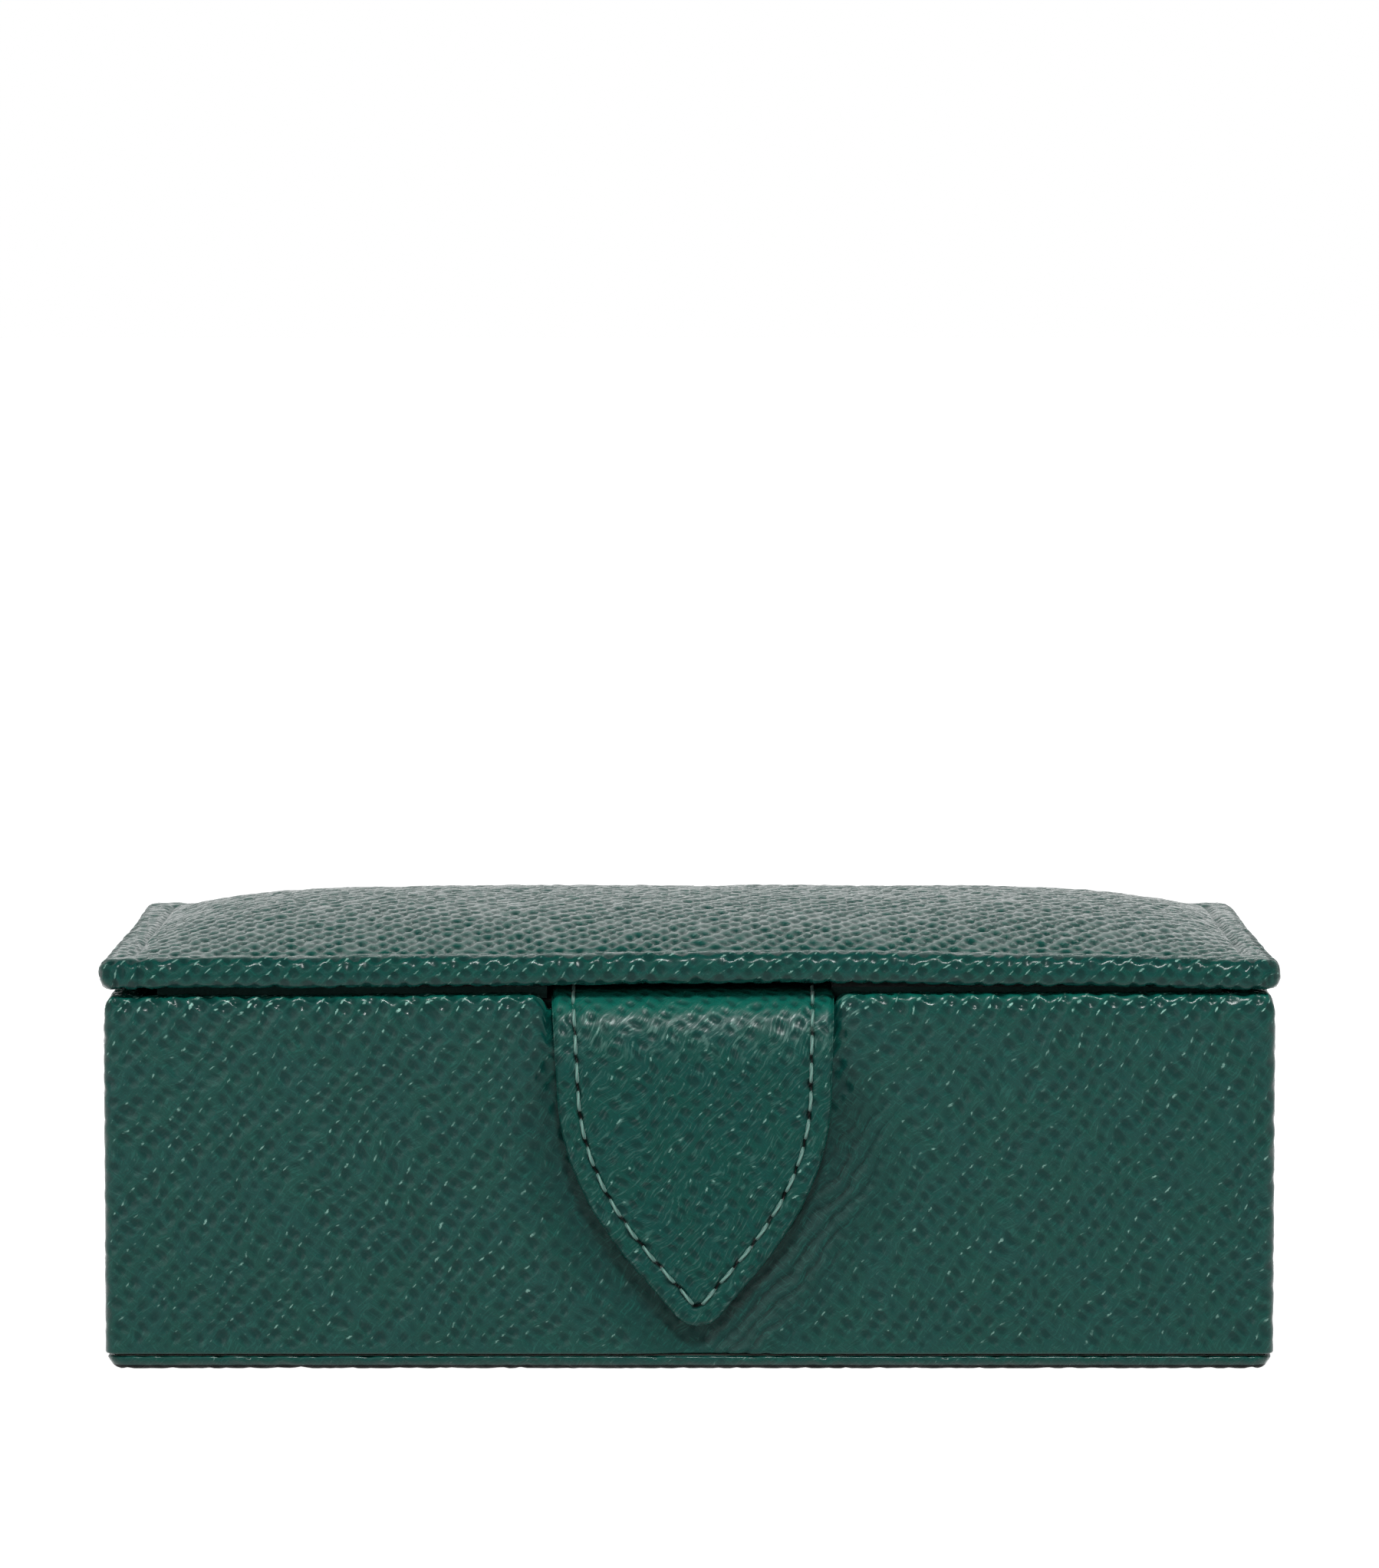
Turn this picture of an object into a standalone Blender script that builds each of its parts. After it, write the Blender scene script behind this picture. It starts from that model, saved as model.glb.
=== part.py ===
"""A cufflink box: board walls wrapped in leather, a padded lid on a leather hinge,
a pointed front tab with a hidden magnet, and a suede interior of eight compartments.

Metres, +Z up, the front towards -Y. The origin is the bottom centre of the closed box.
"""

import math

import bmesh
import bpy
from mathutils import Matrix, Vector

# Base: four walls of board under one leather wrap
BASE_WIDTH = 0.1210
BASE_DEPTH = 0.0610
RIM_HEIGHT = 0.0391
BASE_CORNER_RADIUS = 0.0012
RIM_RADIUS = 0.0008
WALL_BOARD = 0.0020
LEATHER = 0.0007
SKIVED_LEATHER = 0.0005
TURN_DOWN_HEIGHT = 0.0080
TURN_UNDER_WIDTH = 0.0080

# Glued faces are drawn this far apart, and cutters run this far past a wall
SEAT_GAP = 0.00025
OVERRUN = 0.0030

# Bottom plate: a board in its own leather, glued under the walls
PLATE_HEIGHT = 0.00145
PLATE_INSET = 0.0002
PLATE_EDGE_RADIUS = 0.0010
PLATE_LEATHER = 0.0004
PLATE_SIDE_LEATHER = 0.0006

# Interior
FLOOR_BOARD = 0.0020
FLOOR_PAD = 0.0025
PAD_EDGE_RADIUS = 0.0005
LINING = 0.0008
LINING_DROP = 0.0019
DIVIDER = 0.0014
DIVIDER_DROP = 0.0041
DIVIDER_EDGE_RADIUS = 0.0004
COMPARTMENT_COLUMNS = 4

# Lid: a thin board, foam on top of it, and leather turned under all round
LID_GAP = 0.0005
LID_SIDE_OVERHANG = 0.0005
LID_FRONT_OVERHANG = 0.0006
LID_EDGE_HEIGHT = 0.00325
LID_EDGE_RADIUS = 0.0011
LID_TURN_IN = 0.0100
CREASE_INSET = 0.0032
CREASE_WIDTH = 0.0008
CREASE_DEPTH = 0.00015
DOME_RISE = 0.0038
DOME_SIDE_POWER = 7.0
DOME_FRONT_POWER = 3.3
FOAM_EDGE = 0.0004
LID_COLUMNS = 26
LID_ROWS = 18
FOAM_COLUMNS = 18
FOAM_ROWS = 12
CREASE_RINGS = 3

# Lid lining: a card glued over the turned leather, and a suede pad that drops inside the walls
LINER_CARD = 0.0012
LINER_PAD = 0.0014
LINER_CLEARANCE = 0.0005

# Notch that lets the tab through the front rim, wider than the tab by its clearance at each side
NOTCH_CLEARANCE = 0.0003
NOTCH_DEPTH = 0.0017
NOTCH_SHOULDER_RADIUS = 0.0016

# Shallow dish in the front wall that the tab lies in
RECESS_DEPTH = 0.0009
RECESS_MARGIN = 0.0004
RECESS_SLOPE = 0.0023
RECESS_SKIN_ROOT = 0.0001

# Tab: leather turned over a stiffener, with a lining behind
TAB_TIP_HEIGHT = 0.0048
TAB_TIP_RADIUS = 0.0030
TAB_TIP_ANGLE = math.radians(52.0)
TAB_TIP_HANDLE = 0.0053
TAB_CURVE_HEIGHT = 0.0250
TAB_CURVE_HANDLE = 0.0123
TAB_TOP_HALF_WIDTH = 0.01455
TAB_TAPER = 0.00035
TAB_LEATHER = 0.0007
TAB_STIFFENER = 0.0005
TAB_LINING = 0.0005
TAB_LINING_INSET = 0.0006
TAB_TURNED_EDGE = 0.0015
TAB_STRAP = 0.0012
TAB_BEND_DROP = 0.0006
TAB_TAIL_REACH = 0.0160
TAB_REST_CLEARANCE = 0.0003
TAB_SIDE_POINTS = 8
TAB_TIP_POINTS = 5

# Stitching: one thread that lies in a groove round the tab and dips through a hole at each pitch
STITCH_INSET = 0.0022
STITCH_PITCH = 0.00294
STITCH_HOLE_RADIUS = 0.0004
STITCH_LOCK_DEPTH = 0.00045
STITCH_END_DROP = 0.0032
THREAD_RADIUS = 0.0002
STITCH_GROOVE_WIDTH = 0.0009
STITCH_GROOVE_DEPTH = 0.0005
HOLE_SEGMENTS = 8

# Magnets: one in the front wall, one in the tab's stiffener
MAGNET_RADIUS = 0.0050
FRONT_MAGNET = 0.0009
MAGNET_ABOVE_TIP = 0.0115

# Hinge: one leather strip down the back, drawn as a leaf on each side of its fold
HINGE_LEATHER = 0.0006
HINGE_SIDE_INSET = 0.0030
HINGE_BASE_LEAF = 0.0135
HINGE_LID_LEAF = 0.0026
HINGE_FOLD_GAP = 0.0002

CURVE_SEGMENTS = 3
ROUND_SEGMENTS = 32
ROUND_SHARP_ANGLE = math.radians(40.0)
LID_SHARP_ANGLE = math.radians(60.0)
FOAM_HALVINGS = 24
WELD_DISTANCE = 0.000001

# Places worked out from the sizes above
tab_thickness = TAB_LEATHER + TAB_STIFFENER + TAB_LINING + 2 * SEAT_GAP
tab_proud = tab_thickness + TAB_REST_CLEARANCE - RECESS_DEPTH
hinge_proud = SEAT_GAP + HINGE_LEATHER
overall_depth = tab_proud + BASE_DEPTH + hinge_proud

side_x = BASE_WIDTH / 2
front_y = tab_proud - overall_depth / 2
back_y = front_y + BASE_DEPTH
middle_y = (front_y + back_y) / 2
wall_bottom = PLATE_HEIGHT + SEAT_GAP

board_inset = LEATHER + SEAT_GAP
board_inner = board_inset + WALL_BOARD
flap_outer = board_inner + SEAT_GAP
flap_inner = flap_outer + SKIVED_LEATHER
lining_outer = flap_inner + SEAT_GAP
interior = lining_outer + LINING
board_bottom = wall_bottom + SKIVED_LEATHER + SEAT_GAP
board_top = RIM_HEIGHT - LEATHER - SEAT_GAP
pad_bottom = board_bottom + FLOOR_BOARD + SEAT_GAP
divider_bottom = pad_bottom + FLOOR_PAD + SEAT_GAP
divider_top = RIM_HEIGHT - DIVIDER_DROP
lining_top = RIM_HEIGHT - LINING_DROP

lid_bottom = RIM_HEIGHT + LID_GAP
lid_rim = lid_bottom + LID_EDGE_HEIGHT
lid_half_width = side_x + LID_SIDE_OVERHANG
lid_front_y = front_y - LID_FRONT_OVERHANG
lid_half_depth = (back_y - lid_front_y) / 2
lid_middle_y = (back_y + lid_front_y) / 2
dome_half_width = lid_half_width - CREASE_INSET - CREASE_WIDTH / 2
dome_half_depth = lid_half_depth - CREASE_INSET - CREASE_WIDTH / 2
lid_board_bottom = lid_bottom + LEATHER + SEAT_GAP
lid_board_top = lid_rim - CREASE_DEPTH - LEATHER - SEAT_GAP
foam_bottom = lid_board_top + SEAT_GAP
foam_drop = LEATHER + SEAT_GAP

liner_inset = interior + LINER_CLEARANCE
card_top = lid_bottom - SEAT_GAP
card_bottom = card_top - LINER_CARD
liner_pad_top = card_bottom - SEAT_GAP
liner_pad_bottom = liner_pad_top - LINER_PAD

tab_curve_half_width = TAB_TOP_HALF_WIDTH - TAB_TAPER
notch_half_width = TAB_TOP_HALF_WIDTH + NOTCH_CLEARANCE
tab_face_y = front_y - tab_proud
tab_stiffener_y = tab_face_y + TAB_LEATHER + SEAT_GAP
tab_lining_y = tab_stiffener_y + TAB_STIFFENER + SEAT_GAP
tab_axis = Vector((0, tab_face_y + TAB_STRAP / 2, card_top - TAB_STRAP / 2))
tab_bend_z = card_bottom - TAB_BEND_DROP
tail_front_y = tab_axis.y + TAB_STRAP / 2 + SEAT_GAP
tail_back_y = front_y + TAB_TAIL_REACH
magnet_z = TAB_TIP_HEIGHT + MAGNET_ABOVE_TIP

hinge_axis = Vector((0, back_y + hinge_proud, (RIM_HEIGHT + lid_bottom) / 2))

# Finishes: linear colour, roughness, metallic
GREEN_LEATHER = ((0.020, 0.063, 0.054), 0.45, 0.0)
GREEN_SUEDE = ((0.016, 0.050, 0.043), 0.95, 0.0)
GREEN_THREAD = ((0.060, 0.160, 0.140), 0.70, 0.0)
GREY_BOARD = ((0.350, 0.330, 0.290), 0.90, 0.0)
CREAM_FOAM = ((0.750, 0.720, 0.620), 0.95, 0.0)
STEEL = ((0.600, 0.600, 0.620), 0.30, 1.0)

# How an outline drawn flat stands in the box: flat X, flat Y and the way it is extruded
FACING = {
    "X": Matrix(((0, 0, 1), (1, 0, 0), (0, 1, 0))),
    "Y": Matrix(((1, 0, 0), (0, 0, -1), (0, 1, 0))),
}


def start_empty():
    for old in list(bpy.data.objects):
        bpy.data.objects.remove(old)
    parts = bpy.data.collections.new("Cufflink box")
    tools = bpy.data.collections.new("Cutters")
    for collection in (parts, tools):
        bpy.context.scene.collection.children.link(collection)
    return parts, tools


def axis_empty(name, place, parent=None):
    empty = bpy.data.objects.new(name, None)
    parts_collection.objects.link(empty)
    empty.location = place
    if parent:
        empty.parent = parent
        empty.location = place - parent.location
    bpy.context.view_layer.update()
    return empty


def object_from(bm, name):
    bmesh.ops.recalc_face_normals(bm, faces=bm.faces)
    mesh = bpy.data.meshes.new(name)
    bm.to_mesh(mesh)
    bm.free()
    new = bpy.data.objects.new(name, mesh)
    cutter_collection.objects.link(new)
    new.hide_render = True
    new.display_type = "WIRE"
    return new


def make_part(obj, finish, carrier=None):
    """Turns a finished shape into a part of the box, carried by an axis if it moves."""
    colour, roughness, metallic = finish
    material = bpy.data.materials.new(obj.name)
    material.use_nodes = True
    shader = material.node_tree.nodes["Principled BSDF"]
    shader.inputs["Base Color"].default_value = (*colour, 1.0)
    shader.inputs["Roughness"].default_value = roughness
    shader.inputs["Metallic"].default_value = metallic
    obj.data.materials.append(material)
    cutter_collection.objects.unlink(obj)
    parts_collection.objects.link(obj)
    obj.hide_render = False
    obj.display_type = "TEXTURED"
    if carrier:
        obj.parent = carrier
        obj.matrix_parent_inverse = carrier.matrix_world.inverted()
    return obj


def block(name, low, high, *rounds):
    """A block between two corners; each round is a radius and the edges that it rounds."""
    bm = bmesh.new()
    bmesh.ops.create_cube(bm, size=1.0)
    low, high = Vector(low), Vector(high)
    for vert in bm.verts:
        vert.co = Vector(low[i] if vert.co[i] < 0 else high[i] for i in range(3))
    for radius, chosen in rounds:
        edges = [e for e in bm.edges if chosen(e.verts[0].co, e.verts[1].co)]
        bmesh.ops.bevel(bm, geom=edges, offset=radius, segments=CURVE_SEGMENTS, profile=0.5,
                        affect="EDGES", material=-1)
    return object_from(bm, name)


def upright(a, b):
    """Chooses the edges between these ends that stand upright."""
    return abs(a.x - b.x) < WELD_DISTANCE and abs(a.y - b.y) < WELD_DISTANCE


def level_at(height):
    """A choice of the edges that lie at a height."""
    def chosen(a, b):
        return abs(a.z - height) < WELD_DISTANCE and abs(b.z - height) < WELD_DISTANCE
    return chosen


def inside_base(name, inset, bottom, top):
    """A block set in from the base's four outer faces."""
    return block(name, (inset - side_x, front_y + inset, bottom),
                 (side_x - inset, back_y - inset, top))


def outline_solid(name, loops, facing, low, high):
    """A flat outline, with any holes, extruded between two planes across X or Y."""
    curve = bpy.data.curves.new(name, "CURVE")
    curve.dimensions = "2D"
    curve.fill_mode = "BOTH"
    curve.extrude = (high - low) / 2
    for loop in loops:
        spline = curve.splines.new("POLY")
        spline.points.add(len(loop) - 1)
        for point, (u, v) in zip(spline.points, loop):
            point.co = (u, v, 0, 1)
        spline.use_cyclic_u = True
    drawn = bpy.data.objects.new(name + " outline", curve)
    cutter_collection.objects.link(drawn)
    middle = Vector((0, 0, 0))
    middle["XY".index(facing)] = (low + high) / 2
    drawn.matrix_world = Matrix.Translation(middle) @ FACING[facing].to_4x4()
    return solid_from_curve(drawn, name)


def solid_from_curve(drawn, name):
    """Turns a drawn curve into a closed mesh with its caps welded on."""
    bpy.context.view_layer.update()
    seen = drawn.evaluated_get(bpy.context.evaluated_depsgraph_get())
    flat = bpy.data.meshes.new_from_object(seen)
    bm = bmesh.new()
    bm.from_mesh(flat)
    bmesh.ops.remove_doubles(bm, verts=bm.verts, dist=WELD_DISTANCE)
    solid = object_from(bm, name)
    solid.matrix_world = drawn.matrix_world
    bpy.data.objects.remove(drawn)
    bpy.data.meshes.remove(flat)
    return solid


def disc(name, radius, place, low_y, high_y):
    """A round disc whose axis runs front to back."""
    bm = bmesh.new()
    bmesh.ops.create_cone(bm, cap_ends=True, segments=ROUND_SEGMENTS, radius1=radius,
                          radius2=radius, depth=high_y - low_y,
                          matrix=Matrix.Rotation(math.pi / 2, 4, "X"))
    made = object_from(bm, name)
    made.data.shade_smooth()
    made.data.set_sharp_from_angle(angle=ROUND_SHARP_ANGLE)
    made.location = (place[0], (low_y + high_y) / 2, place[1])
    return made


def boolean(target, other, operation):
    change = target.modifiers.new(other.name, "BOOLEAN")
    change.operation = operation
    change.object = other


def cut(target, *cutters):
    for cutter in cutters:
        boolean(target, cutter, "DIFFERENCE")


def join(target, *additions):
    for addition in additions:
        boolean(target, addition, "UNION")


# Outlines of the tab and the notch, as (x, z) points


def tab_half_width(height):
    """Half the tab's width on its straight part, at a height above the resting plane."""
    rise = (height - TAB_TIP_HEIGHT - TAB_CURVE_HEIGHT) / (
        tab_axis.z - TAB_TIP_HEIGHT - TAB_CURVE_HEIGHT)
    return tab_curve_half_width + TAB_TAPER * rise


def tab_side(grow):
    """One side of the tab from its straight part down to the tip's round, moved out by grow."""
    start = Vector((tab_curve_half_width, TAB_CURVE_HEIGHT))
    end = Vector((math.sin(TAB_TIP_ANGLE), 1 - math.cos(TAB_TIP_ANGLE))) * TAB_TIP_RADIUS
    tip_way = Vector((math.cos(TAB_TIP_ANGLE), math.sin(TAB_TIP_ANGLE)))
    handles = (start, start - Vector((0, TAB_CURVE_HANDLE)), end + tip_way * TAB_TIP_HANDLE, end)
    points = []
    for i in range(TAB_SIDE_POINTS):
        t = i / (TAB_SIDE_POINTS - 1)
        weights = ((1 - t) ** 3, 3 * t * (1 - t) ** 2, 3 * t * t * (1 - t), t ** 3)
        place = sum((w * h for w, h in zip(weights, handles)), Vector((0, 0)))
        slopes = ((1 - t) ** 2, 2 * t * (1 - t), t * t)
        legs = (handles[1] - handles[0], handles[2] - handles[1], handles[3] - handles[2])
        way = sum((s * leg for s, leg in zip(slopes, legs)), Vector((0, 0))).normalized()
        points.append(place + Vector((-way.y, way.x)) * grow)
    return points


def tab_outline(grow, top):
    """The pointed tab's outline moved out by grow, closed by a straight line at height top."""
    side = tab_side(grow)
    tip_radius = TAB_TIP_RADIUS + grow
    if tip_radius > WELD_DISTANCE:
        for i in range(1, TAB_TIP_POINTS):
            angle = TAB_TIP_ANGLE * (1 - i / (TAB_TIP_POINTS - 1))
            side.append(Vector((math.sin(angle) * tip_radius,
                                TAB_TIP_RADIUS - math.cos(angle) * tip_radius)))
    else:
        side = [point for point in side if point.x > WELD_DISTANCE]
        slope = (side[-2] - side[-1]).normalized()
        side.append(side[-1] - slope * (side[-1].x / slope.x))
    right = [(tab_half_width(top) + grow, top)]
    right += [(point.x, point.y + TAB_TIP_HEIGHT) for point in side]
    left = [(-x, z) for x, z in reversed(right[:-1])]
    return right + left


def notch_outline(grow, top):
    """The notch in the rim with its round shoulders, let into the rim by grow, up to top."""
    shoulder_x = notch_half_width + NOTCH_SHOULDER_RADIUS
    shoulder_z = RIM_HEIGHT - NOTCH_SHOULDER_RADIUS
    radius = NOTCH_SHOULDER_RADIUS - grow
    right = [(shoulder_x - radius, RIM_HEIGHT - NOTCH_DEPTH - grow)]
    for i in range(CURVE_SEGMENTS + 1):
        angle = math.pi - math.pi / 2 * i / CURVE_SEGMENTS
        right.append((shoulder_x + math.cos(angle) * radius,
                      shoulder_z + math.sin(angle) * radius))
    right.append((shoulder_x, top))
    return right + [(-x, z) for x, z in reversed(right)]


def recess_form(name, set_back, start, top):
    """The dish under the tab as a solid: wide at the wall's face, the tab's shape at its floor.

    set_back moves it into the wall, start is how far before that face it begins, and top is
    the height it ends at."""
    bm = bmesh.new()
    rings = []
    for depth in (-start, RECESS_DEPTH):
        grow = RECESS_MARGIN + RECESS_SLOPE * (1 - depth / RECESS_DEPTH)
        outline = tab_outline(grow, top)
        rings.append([bm.verts.new((x, front_y + set_back + depth, z)) for x, z in outline])
    wide, narrow = rings
    bm.faces.new(wide)
    bm.faces.new(reversed(narrow))
    for i in range(len(wide)):
        bm.faces.new((wide[i - 1], wide[i], narrow[i], narrow[i - 1]))
    return object_from(bm, name)


# Base


def base_boards():
    front = block("base_front_board",
                  (board_inset - side_x, front_y + board_inset, board_bottom),
                  (side_x - board_inset, front_y + board_inner, board_top))
    cut(front,
        recess_form("board recess", LEATHER + SEAT_GAP, SEAT_GAP, RIM_HEIGHT + OVERRUN),
        outline_solid("board notch", [notch_outline(board_inset, RIM_HEIGHT)], "Y",
                      front_y - OVERRUN, front_y + board_inner + OVERRUN),
        disc("magnet hole", MAGNET_RADIUS + SEAT_GAP, (0, magnet_z),
             front_y, front_y + board_inner + OVERRUN))
    make_part(front, GREY_BOARD)
    back = block("base_back_board",
                 (board_inset - side_x, back_y - board_inner, board_bottom),
                 (side_x - board_inset, back_y - board_inset, board_top))
    make_part(back, GREY_BOARD)
    for name, low_x, high_x in (("base_left_board", board_inset - side_x, board_inner - side_x),
                                ("base_right_board", side_x - board_inner, side_x - board_inset)):
        side = block(name,
                     (low_x, front_y + board_inner + SEAT_GAP, board_bottom),
                     (high_x, back_y - board_inner - SEAT_GAP, board_top))
        make_part(side, GREY_BOARD)
    bottom = inside_base("base_bottom_board", board_inner + SEAT_GAP, board_bottom,
                         board_bottom + FLOOR_BOARD)
    make_part(bottom, GREY_BOARD)


def base_wrap():
    """Leather up the walls, over the rim and down inside, dished and notched for the tab."""
    wrap = block("base_leather_wrap", (-side_x, front_y, wall_bottom), (side_x, back_y, RIM_HEIGHT),
                 (BASE_CORNER_RADIUS, upright), (RIM_RADIUS, level_at(RIM_HEIGHT)))
    mid_leather = LEATHER / 2
    dish_top = RIM_HEIGHT + OVERRUN
    cut(wrap, inside_base("wall room", LEATHER, wall_bottom + SKIVED_LEATHER,
                          RIM_HEIGHT - LEATHER))
    join(wrap,
         inside_base("turned-down leather", flap_outer, RIM_HEIGHT - TURN_DOWN_HEIGHT,
                     RIM_HEIGHT - mid_leather),
         recess_form("recess skin", LEATHER, RECESS_SKIN_ROOT, RIM_HEIGHT - mid_leather),
         outline_solid("notch saddle", [notch_outline(LEATHER, RIM_HEIGHT - mid_leather)], "Y",
                       front_y + mid_leather, front_y + flap_inner + mid_leather))
    cut(wrap,
        inside_base("mouth", flap_inner, RIM_HEIGHT - TURN_DOWN_HEIGHT - OVERRUN,
                    RIM_HEIGHT + OVERRUN),
        inside_base("underside window", TURN_UNDER_WIDTH, wall_bottom - OVERRUN,
                    wall_bottom + OVERRUN),
        recess_form("tab recess", 0, OVERRUN / 2, dish_top),
        outline_solid("tab notch", [notch_outline(0, dish_top)], "Y",
                      front_y - OVERRUN, front_y + flap_inner + OVERRUN))
    make_part(wrap, GREEN_LEATHER)


def bottom_plate():
    half_width = side_x - PLATE_INSET
    low_y, high_y = front_y + PLATE_INSET, back_y - PLATE_INSET
    leather = block("bottom_plate_leather", (-half_width, low_y, 0),
                    (half_width, high_y, PLATE_HEIGHT),
                    (BASE_CORNER_RADIUS, upright), (PLATE_EDGE_RADIUS, level_at(0)))
    wall = PLATE_SIDE_LEATHER
    cut(leather, block("plate room",
                       (wall - half_width, low_y + wall, PLATE_LEATHER),
                       (half_width - wall, high_y - wall, PLATE_HEIGHT + OVERRUN)))
    make_part(leather, GREEN_LEATHER)
    wall += SEAT_GAP
    board = block("bottom_plate_board",
                  (wall - half_width, low_y + wall, PLATE_LEATHER + SEAT_GAP),
                  (half_width - wall, high_y - wall, PLATE_HEIGHT))
    make_part(board, GREY_BOARD)


def linings():
    for name, low_y, high_y in (
            ("lining_front", front_y + lining_outer, front_y + interior),
            ("lining_back", back_y - interior, back_y - lining_outer)):
        wall = block(name, (lining_outer - side_x, low_y, pad_bottom),
                     (side_x - lining_outer, high_y, lining_top))
        make_part(wall, GREEN_SUEDE)
    for name, low_x, high_x in (
            ("lining_left", lining_outer - side_x, interior - side_x),
            ("lining_right", side_x - interior, side_x - lining_outer)):
        wall = block(name, (low_x, front_y + interior + SEAT_GAP, pad_bottom),
                     (high_x, back_y - interior - SEAT_GAP, lining_top))
        make_part(wall, GREEN_SUEDE)
    inset = interior + SEAT_GAP
    pad = block("floor_pad", (inset - side_x, front_y + inset, pad_bottom),
                (side_x - inset, back_y - inset, pad_bottom + FLOOR_PAD),
                (PAD_EDGE_RADIUS, level_at(pad_bottom + FLOOR_PAD)))
    make_part(pad, GREEN_SUEDE)


def dividers():
    """One long divider and the short ones across it, half-lapped like an egg box."""
    reach_x = side_x - interior - SEAT_GAP
    half = DIVIDER / 2
    slot_half = half + SEAT_GAP
    lap_z = (divider_bottom + divider_top) / 2
    pitch = (2 * (side_x - interior) - (COMPARTMENT_COLUMNS - 1) * DIVIDER) / COMPARTMENT_COLUMNS
    places = [interior - side_x + pitch * (i + 1) + DIVIDER * i + half
              for i in range(COMPARTMENT_COLUMNS - 1)]
    long = block("divider_long", (-reach_x, middle_y - half, divider_bottom),
                 (reach_x, middle_y + half, divider_top),
                 (DIVIDER_EDGE_RADIUS, level_at(divider_top)))
    for i, x in enumerate(places):
        cut(long, block(f"upper slot {i + 1}",
                        (x - slot_half, middle_y - OVERRUN, lap_z - SEAT_GAP / 2),
                        (x + slot_half, middle_y + OVERRUN, divider_top + OVERRUN)))
        short = block(f"divider_short_{i + 1}",
                      (x - half, front_y + interior + SEAT_GAP, divider_bottom),
                      (x + half, back_y - interior - SEAT_GAP, divider_top),
                      (DIVIDER_EDGE_RADIUS, level_at(divider_top)))
        cut(short, block(f"lower slot {i + 1}",
                         (x - OVERRUN, middle_y - slot_half, divider_bottom - OVERRUN),
                         (x + OVERRUN, middle_y + slot_half, lap_z + SEAT_GAP / 2)))
        make_part(short, GREEN_SUEDE)
    make_part(long, GREEN_SUEDE)


def front_magnet():
    high_y = front_y + board_inner
    make_part(disc("front_magnet", MAGNET_RADIUS, (0, magnet_z), high_y - FRONT_MAGNET, high_y),
              STEEL)


# Lid


def dome(x, y):
    """How far the padded top stands above the lid's flat border."""
    across = min(abs(x) / dome_half_width, 1)
    along = min(abs(y - lid_middle_y) / dome_half_depth, 1)
    return DOME_RISE * (1 - across ** DOME_SIDE_POWER) * (1 - along ** DOME_FRONT_POWER)


def lid_station(step, steps, half):
    """Distance from the middle to a grid line: three round the crease, then the lid's edge."""
    inner = steps - CREASE_RINGS
    crease = half - CREASE_INSET
    if step > inner:
        return (crease, crease + CREASE_WIDTH / 2, half)[step - inner - 1]
    return (crease - CREASE_WIDTH / 2) * math.sin(math.pi / 2 * step / inner)


def lid_cover(carrier):
    """Domed leather with a pressed crease, turned down round the edge and in underneath."""
    bm = bmesh.new()
    bmesh.ops.create_grid(bm, x_segments=LID_COLUMNS, y_segments=LID_ROWS, size=1.0)
    columns, rows = LID_COLUMNS // 2, LID_ROWS // 2
    for vert in bm.verts:
        column, row = round(abs(vert.co.x) * columns), round(abs(vert.co.y) * rows)
        x = math.copysign(lid_station(column, columns, lid_half_width), vert.co.x)
        y = lid_middle_y + math.copysign(lid_station(row, rows, lid_half_depth), vert.co.y)
        from_edge = min(columns - column, rows - row)
        pressed = CREASE_DEPTH if from_edge == CREASE_RINGS - 1 else 0
        vert.co = (x, y, lid_rim + dome(x, y) - pressed)
    edge = [e for e in bm.edges if e.is_boundary]
    down = bmesh.ops.extrude_edge_only(bm, edges=edge)["geom"]
    for vert in (v for v in down if isinstance(v, bmesh.types.BMVert)):
        vert.co.z = lid_bottom
    edge = [e for e in down if isinstance(e, bmesh.types.BMEdge) and e.is_boundary]
    under = bmesh.ops.extrude_edge_only(bm, edges=edge)["geom"]
    reach_x, reach_y = lid_half_width - LID_TURN_IN, lid_half_depth - LID_TURN_IN
    for vert in (v for v in under if isinstance(v, bmesh.types.BMVert)):
        vert.co.x = max(-reach_x, min(reach_x, vert.co.x))
        vert.co.y = lid_middle_y + max(-reach_y, min(reach_y, vert.co.y - lid_middle_y))
    bmesh.ops.remove_doubles(bm, verts=bm.verts, dist=WELD_DISTANCE)
    bmesh.ops.recalc_face_normals(bm, faces=bm.faces)
    corners = [e for e in bm.edges
               if len(e.link_faces) == 2 and e.calc_face_angle() > LID_SHARP_ANGLE]
    bmesh.ops.bevel(bm, geom=corners, offset=LID_EDGE_RADIUS, segments=CURVE_SEGMENTS,
                    profile=0.5, affect="EDGES", material=-1)
    cover = object_from(bm, "lid_leather_cover")
    skin = cover.modifiers.new("leather", "SOLIDIFY")
    skin.thickness = LEATHER
    skin.offset = -1.0
    skin.use_even_offset = True
    make_part(cover, GREEN_LEATHER, carrier)


def foam_reach(u, v):
    """How far out along (u, v) the dome still leaves room for the foam's thin edge."""
    least = FOAM_EDGE + foam_bottom - (lid_rim - foam_drop)
    near, far = 0.0, 1.0
    for _ in range(FOAM_HALVINGS):
        share = (near + far) / 2
        height = dome(share * dome_half_width * u, lid_middle_y + share * dome_half_depth * v)
        near, far = (share, far) if height > least else (near, share)
    return near


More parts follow.
